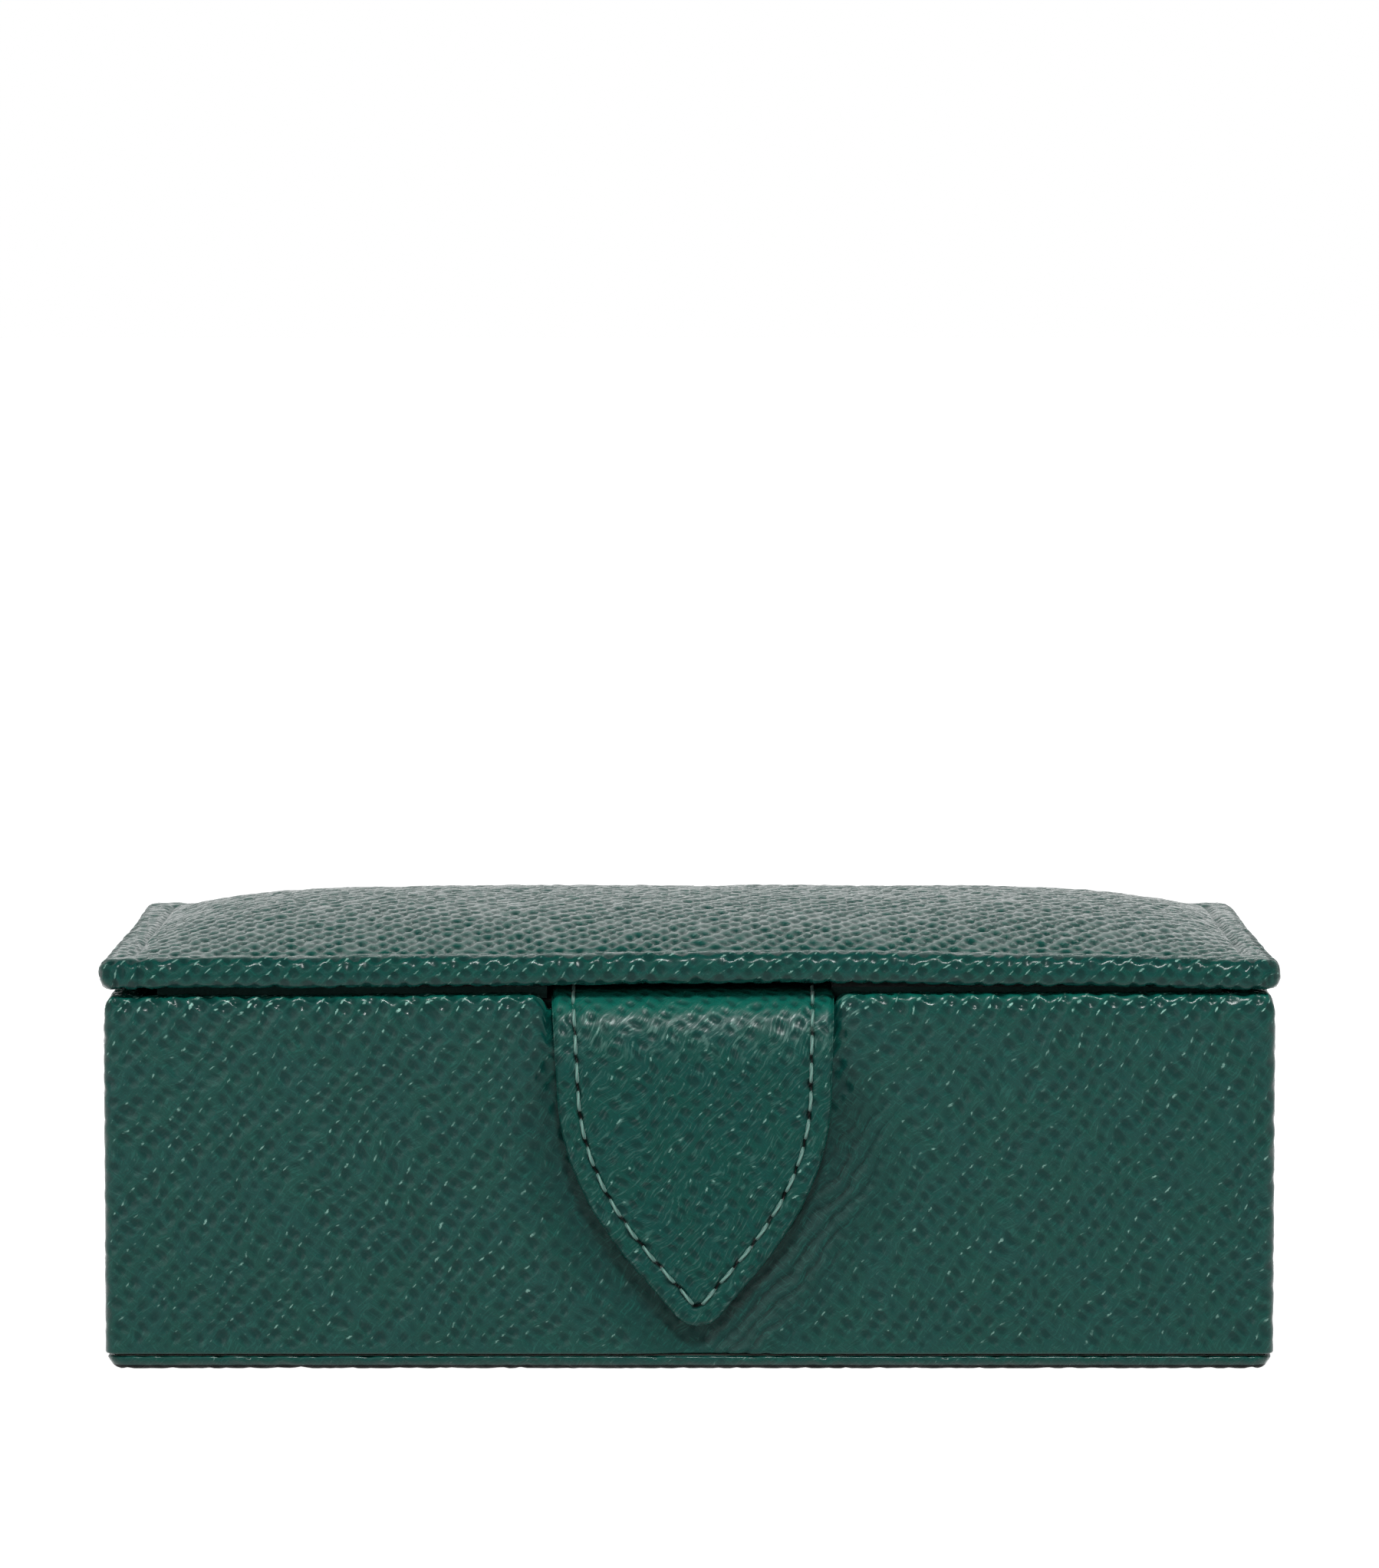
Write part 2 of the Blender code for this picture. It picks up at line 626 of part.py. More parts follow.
def lid_padding(carrier):
    bm = bmesh.new()
    bmesh.ops.create_grid(bm, x_segments=FOAM_COLUMNS, y_segments=FOAM_ROWS, size=1.0)
    for vert in bm.verts:
        ring = max(abs(vert.co.x), abs(vert.co.y))
        u, v = (vert.co.x / ring, vert.co.y / ring) if ring else (0, 0)
        spread = math.sin(math.pi / 2 * ring) * foam_reach(u, v)
        x, y = u * spread * dome_half_width, lid_middle_y + v * spread * dome_half_depth
        vert.co = (x, y, lid_rim - foam_drop + dome(x, y))
    base = bmesh.ops.extrude_face_region(bm, geom=bm.faces[:])["geom"]
    for vert in (v for v in base if isinstance(v, bmesh.types.BMVert)):
        vert.co.z = foam_bottom
    make_part(object_from(bm, "lid_padding"), CREAM_FOAM, carrier)


def lid_board(carrier):
    inset = LEATHER + SEAT_GAP
    board = block("lid_board",
                  (inset - lid_half_width, lid_front_y + inset, lid_board_bottom),
                  (lid_half_width - inset, back_y - inset, lid_board_top),
                  (LEATHER / 2, upright))
    make_part(board, GREY_BOARD, carrier)


def lid_liner(carrier):
    card = inside_base("lid_liner_card", liner_inset, card_bottom, card_top)
    half = tab_half_width(tab_axis.z) + SEAT_GAP
    cut(card, block("tail room", (-half, front_y, card_bottom - OVERRUN),
                    (half, tail_back_y + SEAT_GAP, card_top + OVERRUN)))
    make_part(card, GREY_BOARD, carrier)
    pad = block("lid_suede_pad",
                (liner_inset - side_x, front_y + liner_inset, liner_pad_bottom),
                (side_x - liner_inset, back_y - liner_inset, liner_pad_top),
                (PAD_EDGE_RADIUS, level_at(liner_pad_bottom)))
    make_part(pad, GREEN_SUEDE, carrier)


def tab_tail(carrier):
    """The tab's glued end, held between the lid's leather and its lining."""
    half = tab_half_width(tab_axis.z)
    tail = block("tab_tail", (-half, tail_front_y, card_bottom), (half, tail_back_y, card_top))
    make_part(tail, GREEN_LEATHER, carrier)


def hinge_leaves(carrier):
    half = side_x - HINGE_SIDE_INSET
    low_y = back_y + SEAT_GAP
    base_leaf = block("hinge_base_leaf",
                      (-half, low_y, hinge_axis.z - HINGE_FOLD_GAP - HINGE_BASE_LEAF),
                      (half, hinge_axis.y, hinge_axis.z - HINGE_FOLD_GAP))
    make_part(base_leaf, GREEN_LEATHER)
    lid_leaf = block("hinge_lid_leaf",
                     (-half, low_y, hinge_axis.z + HINGE_FOLD_GAP),
                     (half, hinge_axis.y, hinge_axis.z + HINGE_FOLD_GAP + HINGE_LID_LEAF))
    make_part(lid_leaf, GREEN_LEATHER, carrier)


# Tab


def tab_leather(carrier):
    """Outer leather: a tray turned back round its edge, thinning to a strap at the bend."""
    back = tab_lining_y - SEAT_GAP
    leather = outline_solid("tab_leather", [tab_outline(0, tab_bend_z)], "Y", tab_face_y, back)
    cut(leather, outline_solid("stiffener room",
                               [tab_outline(-TAB_TURNED_EDGE, tab_bend_z - TAB_TURNED_EDGE)], "Y",
                               tab_face_y + TAB_LEATHER, back + OVERRUN))
    low_z = tab_bend_z - TAB_TURNED_EDGE / 2
    radius = TAB_STRAP / 2
    strap = [(tab_face_y, low_z)]
    for i in range(2 * CURVE_SEGMENTS + 1):
        angle = math.pi * (1 - i / (2 * CURVE_SEGMENTS))
        strap.append((tab_axis.y + math.cos(angle) * radius, tab_axis.z + math.sin(angle) * radius))
    strap.append((tab_face_y + TAB_STRAP, low_z))
    half = tab_half_width(tab_bend_z)
    join(leather, outline_solid("tab bend", [strap], "X", -half, half))
    near, far = STITCH_INSET - STITCH_GROOVE_WIDTH / 2, STITCH_INSET + STITCH_GROOVE_WIDTH / 2
    cut(leather, outline_solid("stitch groove",
                               [tab_outline(-near, tab_axis.z + 2 * OVERRUN),
                                tab_outline(-far, tab_axis.z + OVERRUN)], "Y",
                               tab_face_y - OVERRUN, tab_face_y + STITCH_GROOVE_DEPTH),
        stitch_holes())
    make_part(leather, GREEN_LEATHER, carrier)


def tab_inside(carrier):
    inset = -TAB_TURNED_EDGE - SEAT_GAP
    low_y, high_y = tab_stiffener_y, tab_stiffener_y + TAB_STIFFENER
    stiffener = outline_solid("tab_stiffener", [tab_outline(inset, tab_bend_z + inset)], "Y",
                              low_y, high_y)
    cut(stiffener, disc("tab magnet hole", MAGNET_RADIUS + SEAT_GAP, (0, magnet_z),
                        low_y - OVERRUN, high_y + OVERRUN))
    make_part(stiffener, GREY_BOARD, carrier)
    make_part(disc("tab_magnet", MAGNET_RADIUS, (0, magnet_z), low_y, high_y), STEEL, carrier)
    lining = outline_solid("tab_lining",
                           [tab_outline(-TAB_LINING_INSET, tab_bend_z - TAB_LINING_INSET)], "Y",
                           tab_lining_y, tab_lining_y + TAB_LINING)
    make_part(lining, GREEN_LEATHER, carrier)


def stitch_path():
    """The stitch line from the tip up the tab's right side, as (x, z) points."""
    line = [Vector(point) for point in tab_outline(-STITCH_INSET, tab_axis.z)]
    return line[:len(line) // 2 + 1][::-1]


def stitch_spacing():
    """How many stitches one side has, and their pitch: a whole number ends at a set height."""
    line = stitch_path()
    sewn = sum((b - a).length for a, b in zip(line, line[1:])) - STITCH_END_DROP
    count = round(sewn / STITCH_PITCH)
    return count, sewn / count


def on_stitch_path(distance):
    """The (x, z) point this far up the stitch line; a distance below zero is the left side."""
    line = stitch_path()
    rest, leg = abs(distance), 0
    while rest > (line[leg + 1] - line[leg]).length:
        rest, leg = rest - (line[leg + 1] - line[leg]).length, leg + 1
    spot = line[leg] + (line[leg + 1] - line[leg]).normalized() * rest
    return math.copysign(spot.x, distance), spot.y


def stitch_holes():
    """All the needle holes as one cutter, straight through the outer leather."""
    count, pitch = stitch_spacing()
    bm = bmesh.new()
    for i in range(-count, count + 1):
        x, z = on_stitch_path(i * pitch)
        place = Matrix.Translation((x, tab_face_y + TAB_LEATHER / 2, z))
        bmesh.ops.create_cone(bm, cap_ends=True, segments=HOLE_SEGMENTS,
                              radius1=STITCH_HOLE_RADIUS, radius2=STITCH_HOLE_RADIUS,
                              depth=TAB_LEATHER + OVERRUN,
                              matrix=place @ Matrix.Rotation(math.pi / 2, 4, "X"))
    return object_from(bm, "stitch holes")


def tab_stitches(carrier):
    """The top thread of a lockstitch: flush along the groove, dipping into every hole."""
    count, pitch = stitch_spacing()
    places = []
    for i in range(-count, count + 1):
        x, z = on_stitch_path(i * pitch)
        places.append((x, tab_face_y + STITCH_LOCK_DEPTH, z))
        if i < count:
            for distance in (i * pitch + STITCH_HOLE_RADIUS,
                             (i + 1) * pitch - STITCH_HOLE_RADIUS):
                x, z = on_stitch_path(distance)
                places.append((x, tab_face_y + THREAD_RADIUS, z))
    curve = bpy.data.curves.new("tab_stitching", "CURVE")
    curve.dimensions = "3D"
    curve.bevel_depth = THREAD_RADIUS
    curve.bevel_resolution = 1
    curve.use_fill_caps = True
    spline = curve.splines.new("POLY")
    spline.points.add(len(places) - 1)
    for point, place in zip(spline.points, places):
        point.co = (*place, 1)
    drawn = bpy.data.objects.new("thread path", curve)
    cutter_collection.objects.link(drawn)
    make_part(solid_from_curve(drawn, "tab_stitching"), GREEN_THREAD, carrier)


parts_collection, cutter_collection = start_empty()
lid_axis_empty = axis_empty("lid hinge axis", hinge_axis)
tab_axis_empty = axis_empty("tab bend axis", tab_axis, lid_axis_empty)

base_boards()
base_wrap()
bottom_plate()
linings()
dividers()
front_magnet()
lid_cover(lid_axis_empty)
lid_padding(lid_axis_empty)
lid_board(lid_axis_empty)
lid_liner(lid_axis_empty)
tab_tail(lid_axis_empty)
hinge_leaves(lid_axis_empty)
tab_leather(tab_axis_empty)
tab_inside(tab_axis_empty)
tab_stitches(tab_axis_empty)
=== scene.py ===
"""The looks of a leather cufflink box: grained leather, suede lining, thread and card."""
import math

import bmesh
import bpy
import numpy as np
from mathutils import Matrix, Vector, noise


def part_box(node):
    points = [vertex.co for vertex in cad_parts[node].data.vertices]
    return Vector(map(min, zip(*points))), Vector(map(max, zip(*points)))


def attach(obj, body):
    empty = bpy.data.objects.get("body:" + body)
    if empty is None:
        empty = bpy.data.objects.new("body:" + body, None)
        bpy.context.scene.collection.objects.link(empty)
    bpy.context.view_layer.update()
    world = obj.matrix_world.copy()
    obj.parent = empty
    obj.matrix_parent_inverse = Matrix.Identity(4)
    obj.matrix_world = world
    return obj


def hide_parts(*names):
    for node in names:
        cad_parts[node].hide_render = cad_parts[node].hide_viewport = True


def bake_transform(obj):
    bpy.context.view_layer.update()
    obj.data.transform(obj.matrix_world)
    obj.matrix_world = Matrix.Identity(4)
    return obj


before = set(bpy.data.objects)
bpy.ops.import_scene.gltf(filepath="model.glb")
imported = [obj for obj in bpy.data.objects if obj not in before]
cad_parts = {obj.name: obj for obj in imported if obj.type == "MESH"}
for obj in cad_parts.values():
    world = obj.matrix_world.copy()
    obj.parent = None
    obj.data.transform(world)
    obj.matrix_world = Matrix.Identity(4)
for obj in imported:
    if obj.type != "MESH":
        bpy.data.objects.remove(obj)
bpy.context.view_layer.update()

noise.seed_set(7)

# Leather: its two thicknesses, and the height of its finest lines
LEATHER = 0.0007
SKIVED_LEATHER = 0.0005
LEATHER_BUMP = 0.00004

# The pressed grain: rows of pits that cross on a slant and wander
# GRAIN and LID_GRAIN: the cell's two sides, the slant of the rows and how wildly they wander
GRAIN = (0.00190, 0.00135, math.radians(50), 1.0)
LID_GRAIN = (0.00160, 0.00135, math.radians(45), 0.8)
GRAIN_DEPTH = 0.00026
SLOW_WANDER = 0.0085
SLOW_WANDER_CELLS = 0.60
QUICK_WANDER = 0.0024
QUICK_WANDER_CELLS = 0.34
PITS_VARY_OVER = 0.0015
STRENGTH_MEAN = 0.85
STRENGTH_VARIES = 0.85
STRENGTH_DRIFTS = 0.20
STRENGTH_RANGE = (0.35, 1.20)
UNEVEN = 0.00010
UNEVEN_OVER = 0.0019

# Leather colours, linear, and how strongly each shows: the dye's two greens, a dark colour for
# painted shade in pits and pressed places, a pale one for painted glints and sheen, a brighter
# green for painted light and a near black for deeper painted shade
GREEN = (0.0010, 0.0352, 0.0272)
TEAL = (0.0011, 0.0338, 0.0286)
PAINTED_SHADE_COLOUR = (0.0030, 0.0170, 0.0160)
GLINT_COLOUR = (0.2000, 0.3600, 0.3100)
LIT_GREEN = (0.0015, 0.0880, 0.0640)
DEEP_SHADE = (0.0004, 0.0010, 0.0009)
PIT_SHADE = 0.64
VALLEY_LONG = 0.24
VALLEY_SHORT = 0.16
PRESSED_SHADE = 0.72
CREASED_SHADE = 0.65
HAIR_SHADE = 0.42
SHEEN_SHARE = 0.22
LIT_GREEN_SHARE = 0.70
LIT_GREEN_PIT_LOSS = 0.6
GLINT_ACROSS = 0.29
GLINT_ALONG = 0.48
MORE_GLINTS = 0.16
COAT_LEAST = 0.24
DULL_LOSS = 0.55

# Leather: its fine lines, as how far they are drawn out across the rows and along them, a seed,
# where a line begins and a roughness
SLANT_LINES = (9.0, 0.9, 3.0, 0.50, 0.6)
CROSS_LINES = (1.1, 7.0, 7.0, 0.54, 0.6)
CROSS_LINE_SHARE = 0.7
# The streaks of painted sheen
SHEEN_LINES = (5.0, 0.8, 5.0, 0.50, 0.5)

# Leather: its noises, as scale in cells, detail and roughness
SPECKLE = (6.0, 3.0, 0.65)
DYE_PATCHES = (0.45, 3.0)
LIT_PATCHES = (1.7, 1.0)
PEBBLES = (2.6, 2.0, 0.6)
PORES = (22.0, 4.0, 0.6)
LINE_NOISE = (1.0, 2.0)

# Leather: the range over which each value turns on, and where a line is full
PIT_RANGE = (0.03, 1.15)
DYE_RANGE = (0.38, 0.62)
SPECKLE_RANGE = (0.50, 0.72)
LIT_RANGE = (0.45, 0.68)
RIM_RANGE = (0.22, 0.72)
LINE_FULL = 0.66

# Leather: how ragged its pits are, how thin, long and wavy the painted glints on the pits' upper
# rims are, and how many more of them show where the coat is dull
PIT_SPECKLE = 2.2
PIT_SPECKLE_LOSS = 0.10
RIM_THINNESS = 36.0
RIM_LENGTH_POWER = 1.2
RIM_WOBBLE = 0.16
DULL_GLINT = 0.5

# Leather: how strong its speckle is, and how much brighter than the dye speckle and lines are
SPECKLE_SHADE = 0.5
SPECKLE_BRIGHTER = 1.7
LINES_BRIGHTER = 2.0

# Leather: its roughness and coat, and the heights of its fine relief
LEATHER_ROUGHNESS = 0.40
PIT_ROUGHNESS = 0.20
LINE_POLISH = 0.08
RIM_POLISH = 0.10
LINE_COAT = 0.10
PIT_COAT_LOSS = 0.12
PRESSED_COAT_LOSS = 0.5
LINES_LOST_IN_PITS = 0.7
PORE_HEIGHT = 0.5
PEBBLE_HEIGHT = 1.6
PIT_FALL = 0.8

# Other colours, linear, with the height of the suede's fibre and the board's pulp, and noises
# as scale per metre, detail and roughness
SUEDE = (0.0150, 0.0470, 0.0400)
SUEDE_BUMP = 0.00008
BRUSHED_PATCHES = (55.0, 3.0, 0.6)
FIBRE = (4200.0, 4.0, 0.7)
THREAD_DARK = (0.032, 0.098, 0.082)
THREAD_LIGHT = (0.078, 0.172, 0.143)
BOARD_DARK = (0.300, 0.285, 0.250)
BOARD_LIGHT = (0.400, 0.380, 0.335)
BOARD_FLECK = (0.140, 0.130, 0.110)
BOARD_BUMP = 0.00005
PULP = (900.0, 4.0, 0.6)
FLECKS = (2600.0, 2.0)
STEEL_DARK = (0.520, 0.520, 0.530)
STEEL_LIGHT = (0.680, 0.680, 0.690)
SCRATCHES = (1800.0, 5.0, 0.7)

# Steps down the edge of a panel: its rounding above, its side, its rounding below, its underside
EDGE_TOP_STEPS = 5
EDGE_SIDE_STEPS = 3
EDGE_LOW_STEPS = 4
EDGE_UNDER_STEPS = 9

# Lid: mesh, edge and the room for its board
LID_MESH = 0.00038
LID_BORDER = 0.0030
LID_BORDER_MESH = 0.00025
LID_EDGE_RADIUS = 0.0014
LID_LOW_RADIUS = 0.0011
LID_CORNER_RADIUS = 0.0020
LID_TURN_IN = 0.0100
LID_BOARD_ROOM = 0.0008
LID_CEILING = 0.00095
LID_BOARD_CELLS = (40, 24)
LID_BOARD_SOFTNESS = 0.0003

# Lid: the padded dome inside its pressed crease
DOME_RISE = 0.0038
DOME_SIDE_POWER = 6.0
DOME_FULLNESS = 0.8
DOME_FRONT_POWER = 2.3
DOME_BACK_POWER = 3.3
CREASE_INSET = 0.0034
CREASE_CORNER = 0.0030
CREASE_HALF_WIDTH = 0.00045
CREASE_DEPTH = 0.00040
FRONT_CREASE_LOSS = 0.8
LID_UNEVEN = 0.00012
LID_UNEVEN_OVER = 0.0140

# Lid: its front edge rises over the tab, and it narrows towards the hinge
LID_BOW = 0.00055
LID_LIFT = 0.00015
LID_BOW_PLACE = 0.0110
LID_BOW_WIDTH = 0.0250
LID_BOW_REACH = 0.0300
LID_BOW_END_SHARE = 0.75
LID_BOW_END_LOSS = 1.4
LID_TAPER = 0.0056
LID_WAIST = 0.0040

# Lid: its grain and the painted shade in its pits, its edge with a duller coat and painted glints,
# painted light on its top, and the folds at its front corners, pressed in and painted darker as shade
LID_RELIEF = 1.8
LID_EDGE_RELIEF = 1.35
CREASE_CALM = 0.6
LID_BACK_CALM = 0.40
LID_BACK_CALM_SHARES = (-0.2, 0.9)
LID_LIT_GREEN = 0.4
LID_PIT_GAIN = 1.6
LID_GLINT = 0.2
LID_EDGE_DULL_AND_GLINTS = (1.0, 0.3)
LID_DULL_RINGS = 7
LID_FOLDS = (-0.0596, -0.0568, 0.0580, 0.0599)
FOLD_WIDTH = 0.00022
FOLD_DEPTH = 0.00018

# Base: mesh, corners, foot and rim
FRONT_MESH = 0.00034
SIDE_MESH = 0.00055
ROW_MESH = 0.0004
FRONT_FACING = -0.99
BASE_CORNER_RADIUS = 0.0012
LEAST_CORNER_RADIUS = 0.0003
CORNER_STEPS = 5
FOOT_RADIUS = 0.0002
FOOT_STEPS = 2
RIM_RADIUS = 0.0009
RIM_ROLL = 0.0026
RIM_STEPS = 9
RIM_WIDTH = 0.0037
INNER_RIM_RADIUS = 0.0006
INNER_RIM_STEPS = 3
TURN_DOWN = 0.0080
RIM_SAG = 0.00035
RIM_SAG_START_SHARE = -0.8

# Base: the notch in the rim, and the dish that the tab has pressed
NOTCH_HALF_WIDTH = 0.01485
NOTCH_DEPTH = 0.0017
NOTCH_FADE = 0.0080
SHOULDER_RADIUS = 0.0016
DISH_DEPTH = 0.0009
DISH_FLAT = 0.0003
DISH_SLOPE = 0.0060
DISH_TOP_SHARE = 0.36
DISH_WIDENS_BELOW = (0.0040, 0.0200)
DISH_TOP_LOSS = 0.45
DISH_TOP_REACH = 0.0100
DISH_TOP_DEPTH = 0.00085
DISH_BEND = 0.0060
DISH_BEND_REACH = 0.0007

# Base: its grain and the painted shade in its pits, deeper over the rim and calmer at the foot, the
# corners and the tab
BASE_PIT_POWER = 0.8
BASE_PIT_GAIN = 1.15
LEFT_RELIEF = 1.04
RIGHT_RELIEF_LOSS = 0.14
RIM_RELIEF = 0.55
FOOT_CALM = 0.0016
CORNER_CALM = 0.5
CORNER_CALM_REACH = (0.0020, 0.0060)
DISH_CALM = 0.25
FURROW_CALM = 0.5

# Base: painted shade round the tab, creases on its right pressed in and painted darker as shade,
# and at the rim a duller coat with painted glints, painted light and a patch of painted sheen
TAB_SHADE = 0.80
TAB_SHADE_REACH = 0.0085
TAB_SHADE_MORE_RIGHT = 0.35
TAB_SHADE_RIGHT_REACH = 0.0100
TAB_SHADE_TOP_LOSS = 0.75
FURROW_PLACE = 0.0035
FURROW_SPREAD = 0.0032
FURROW_RIGHT_REACH = 0.0060
FURROWS_START_BELOW = (0.0060, 0.0140)
FURROWS_PER_CELL = 1.25
FURROW_SHARPNESS = 6
FURROW_DEPTH = 0.00016
FURROW_SHADE = 1.2
RIM_DULL_AND_GLINTS = 0.90
RIM_LIT_GREEN_REACH = 0.0010
SHOULDER_SHEEN = 7.0
SHOULDER_SHEEN_PLACE = (0.0163, 0.0011)
SHOULDER_SHEEN_REACH = (0.0008, 0.0009)

# Bottom plate, with its painted glints and a painted contact shadow along its foot
PLATE_MESH = 0.0006
PLATE_BORDER = 0.0020
PLATE_BORDER_MESH = 0.0004
PLATE_CORNER_RADIUS = 0.0018
PLATE_RADIUS = 0.0012
PLATE_CHAMFER = 0.4
PLATE_TOP_RADIUS = 0.0002
PLATE_TURN_IN = 0.0006
PLATE_FLOOR = 0.0005
PLATE_CONTACT_SHADE = 0.00042
PLATE_RELIEF = 0.6
PLATE_DULL_AND_GLINTS = 0.5
PLATE_GLINT = 0.1

# Tab: its outline, drawn flat as (across, up from the tip) and then bent under the lid
TIP_RADIUS = 0.0030
TIP_ANGLE = math.radians(52.0)
TIP_HANDLE = 0.0053
CURVE_HEIGHT = 0.0250
CURVE_HANDLE = 0.0123
CURVE_HALF_WIDTH = 0.0142
TOP_HALF_WIDTH = 0.01455
WIDENS_OVER = 0.0090
OUTLINE_TOP = 0.0600
TIP_POINTS = 40
CURVE_POINTS = 160
SIDE_POINTS = 80

# Tab: its thickness, its lean and its bend
TAB_THICKNESS = 0.00145
TAB_EDGE_RADIUS = 0.0007
STRAP_THICKNESS = 0.00100
STRAP_THINS_OVER = 0.0080
TAB_LEAN_TOP = 0.00035
TAB_LEAN_TIP = 0.00090
TAB_LEAN_OVER = 0.0340
BEND_START = 0.0260
BEND_POWER = 1.85
BEND_STEPS = 400
TAIL_LENGTH = 0.0115
TAIL_PATH = 0.0500

# Tab: mesh, drawn as U shapes round a pole
TAB_MESH = 0.00022
TAIL_MESH = 0.0008
TAB_POLE = 0.0090
POLE_SOFTNESS = 0.0020
FINE_FROM_SHARE = 0.76
INNER_U_COUNT = 36
FINE_U_COUNT = 24

# Tab: its grain and the painted shade in its pits, painted sheen streaks at its bend and painted
# light from the bend up
TAB_PIT_POWER = 1.2
TAB_PIT_GAIN = 1.9
TAB_GRAIN_DEPTH = 0.00018
TAB_HAIR_HEIGHT = 1.3
TAB_COAT_ROUGHNESS = 0.36
TAB_RELIEF = 0.95
TAB_CALM = 0.5
TAB_SIDE_RELIEF = 0.3
SEAM_CALM = 0.6
EDGE_CALM = 0.5
EDGE_CALM_REACH = (0.0002, 0.0009)
SHEEN_PLACE = 0.0307
SHEEN_REACH = 0.0021
LIT_GREEN_START = 0.0316
LIT_GREEN_FULL = 0.0336

# Tab: the card inside it and the leather behind it
CARD_TOP = 0.0270
CARD_DEPTH = 0.00075
CARD_EDGE_SHARE = 0.2
TAB_LINING_INSET = 0.0003
TAB_LINING = 0.0005
TAB_LINING_TOP = 0.0285
TAB_LINING_RADIUS = 0.0002
TAB_LINING_RELIEF = 0.35
TAB_LINING_PIT_POWER = 2.4
LINING_GAP = 0.00025

# Stitching
STITCH_INSET = 0.0022
STITCH_TOP = 0.0400
STITCH_PITCH = 0.00294
STITCH_SHARE = 0.72
STITCH_GROOVE = 0.00012
STITCH_GROOVE_WIDTH = 0.00055
THREAD_RADIUS = 0.00020
THREAD_LIFT = 0.00010
THREAD_DIVE = 0.00038
THREAD_SIDES = 10
THREAD_CUTS = 13
THREAD_TWIST = 7.5
PLY_SHARE = 0.20
THREAD_END_SHARE = 0.55
THREAD_ARCH_POWER = 0.4
HOLE_RADIUS = 0.00016
HOLE_DEPTH = 0.00045
HOLE_DARKNESS = 1.3
SLIT_LENGTH = 0.00060
SLIT_TILT = math.radians(12)
LITTLE_AHEAD = 0.0001

# Hinge strip
HINGE_MESH = 0.0005
HINGE_THIN_EDGE = 0.0012
HINGE_THINNING = 0.6
HINGE_RELIEF = 0.7

# Suede pads
PAD_MESH = 0.0007
PAD_ROUNDING_SHARE = 0.55
PAD_CROWN = 0.0006
PAD_CROWN_POWER = 0.45
PAD_CROWN_ROOM = 0.0004
PAD_UNEVEN = 0.0002
PAD_UNEVEN_OVER = 0.0110

# Camera, measured in the photo: the box stands a little below the eye
IMAGE_HEIGHT_PIXELS = 2044
FOCAL_PIXELS = 9315
SENSOR = 36.0
CAMERA_PLACE = Vector((0.0, -0.7621, 0.1195))
CAMERA_PITCH = math.radians(4.58)
CAMERA_CLIP = (0.01, 50.0)

# Studio: white all round with a darker ceiling, and two lamps given as place, size and power
WHITE = (1.0, 1.0, 1.0)
CEILING = (0.10, 0.10, 0.10)
CEILING_START = 0.80
CEILING_FULL = 0.97
AIR_STRENGTH = 0.50
KEY_LAMP = ((0.06, -0.58, 0.66), (0.13, 0.13), 7.2)
FILL_LAMP = ((-0.50, -1.10, 0.35), (0.90, 0.60), 3.2)
LAMPS_AIM = (0.0, 0.0, 0.03)
FLOOR_RADIUS = 6.0
FLOOR_PAINT = (0.80, 0.80, 0.80)
FLOOR_GLOW = 1.9
FLOOR_GLOW_SHARE = 0.5

TURN = 2 * math.pi
QUARTER_TURN = math.pi / 2
TINY = 1e-9
MERGE = 1e-7


# Shader nodes


class Wire:
    """A node's output. Sums and products with it add Math nodes to its finish."""

    def __init__(self, finish, socket):
        self.finish = finish
        self.socket = socket

    def math(self, operation, *values):
        return self.finish.node("ShaderNodeMath", {"operation": operation}, dict(enumerate(values)))

    def __add__(self, other):
        return self.math("ADD", self, other)

    def __sub__(self, other):
        return self.math("SUBTRACT", self, other)

    def __rsub__(self, other):
        return self.math("SUBTRACT", other, self)

    def __mul__(self, other):
        return self.math("MULTIPLY", self, other)

    def __pow__(self, other):
        return self.math("POWER", self, other)

    __radd__ = __add__
    __rmul__ = __mul__

    def clipped(self):
        return self.math("MINIMUM", self.math("MAXIMUM", self, 0.0), 1.0)


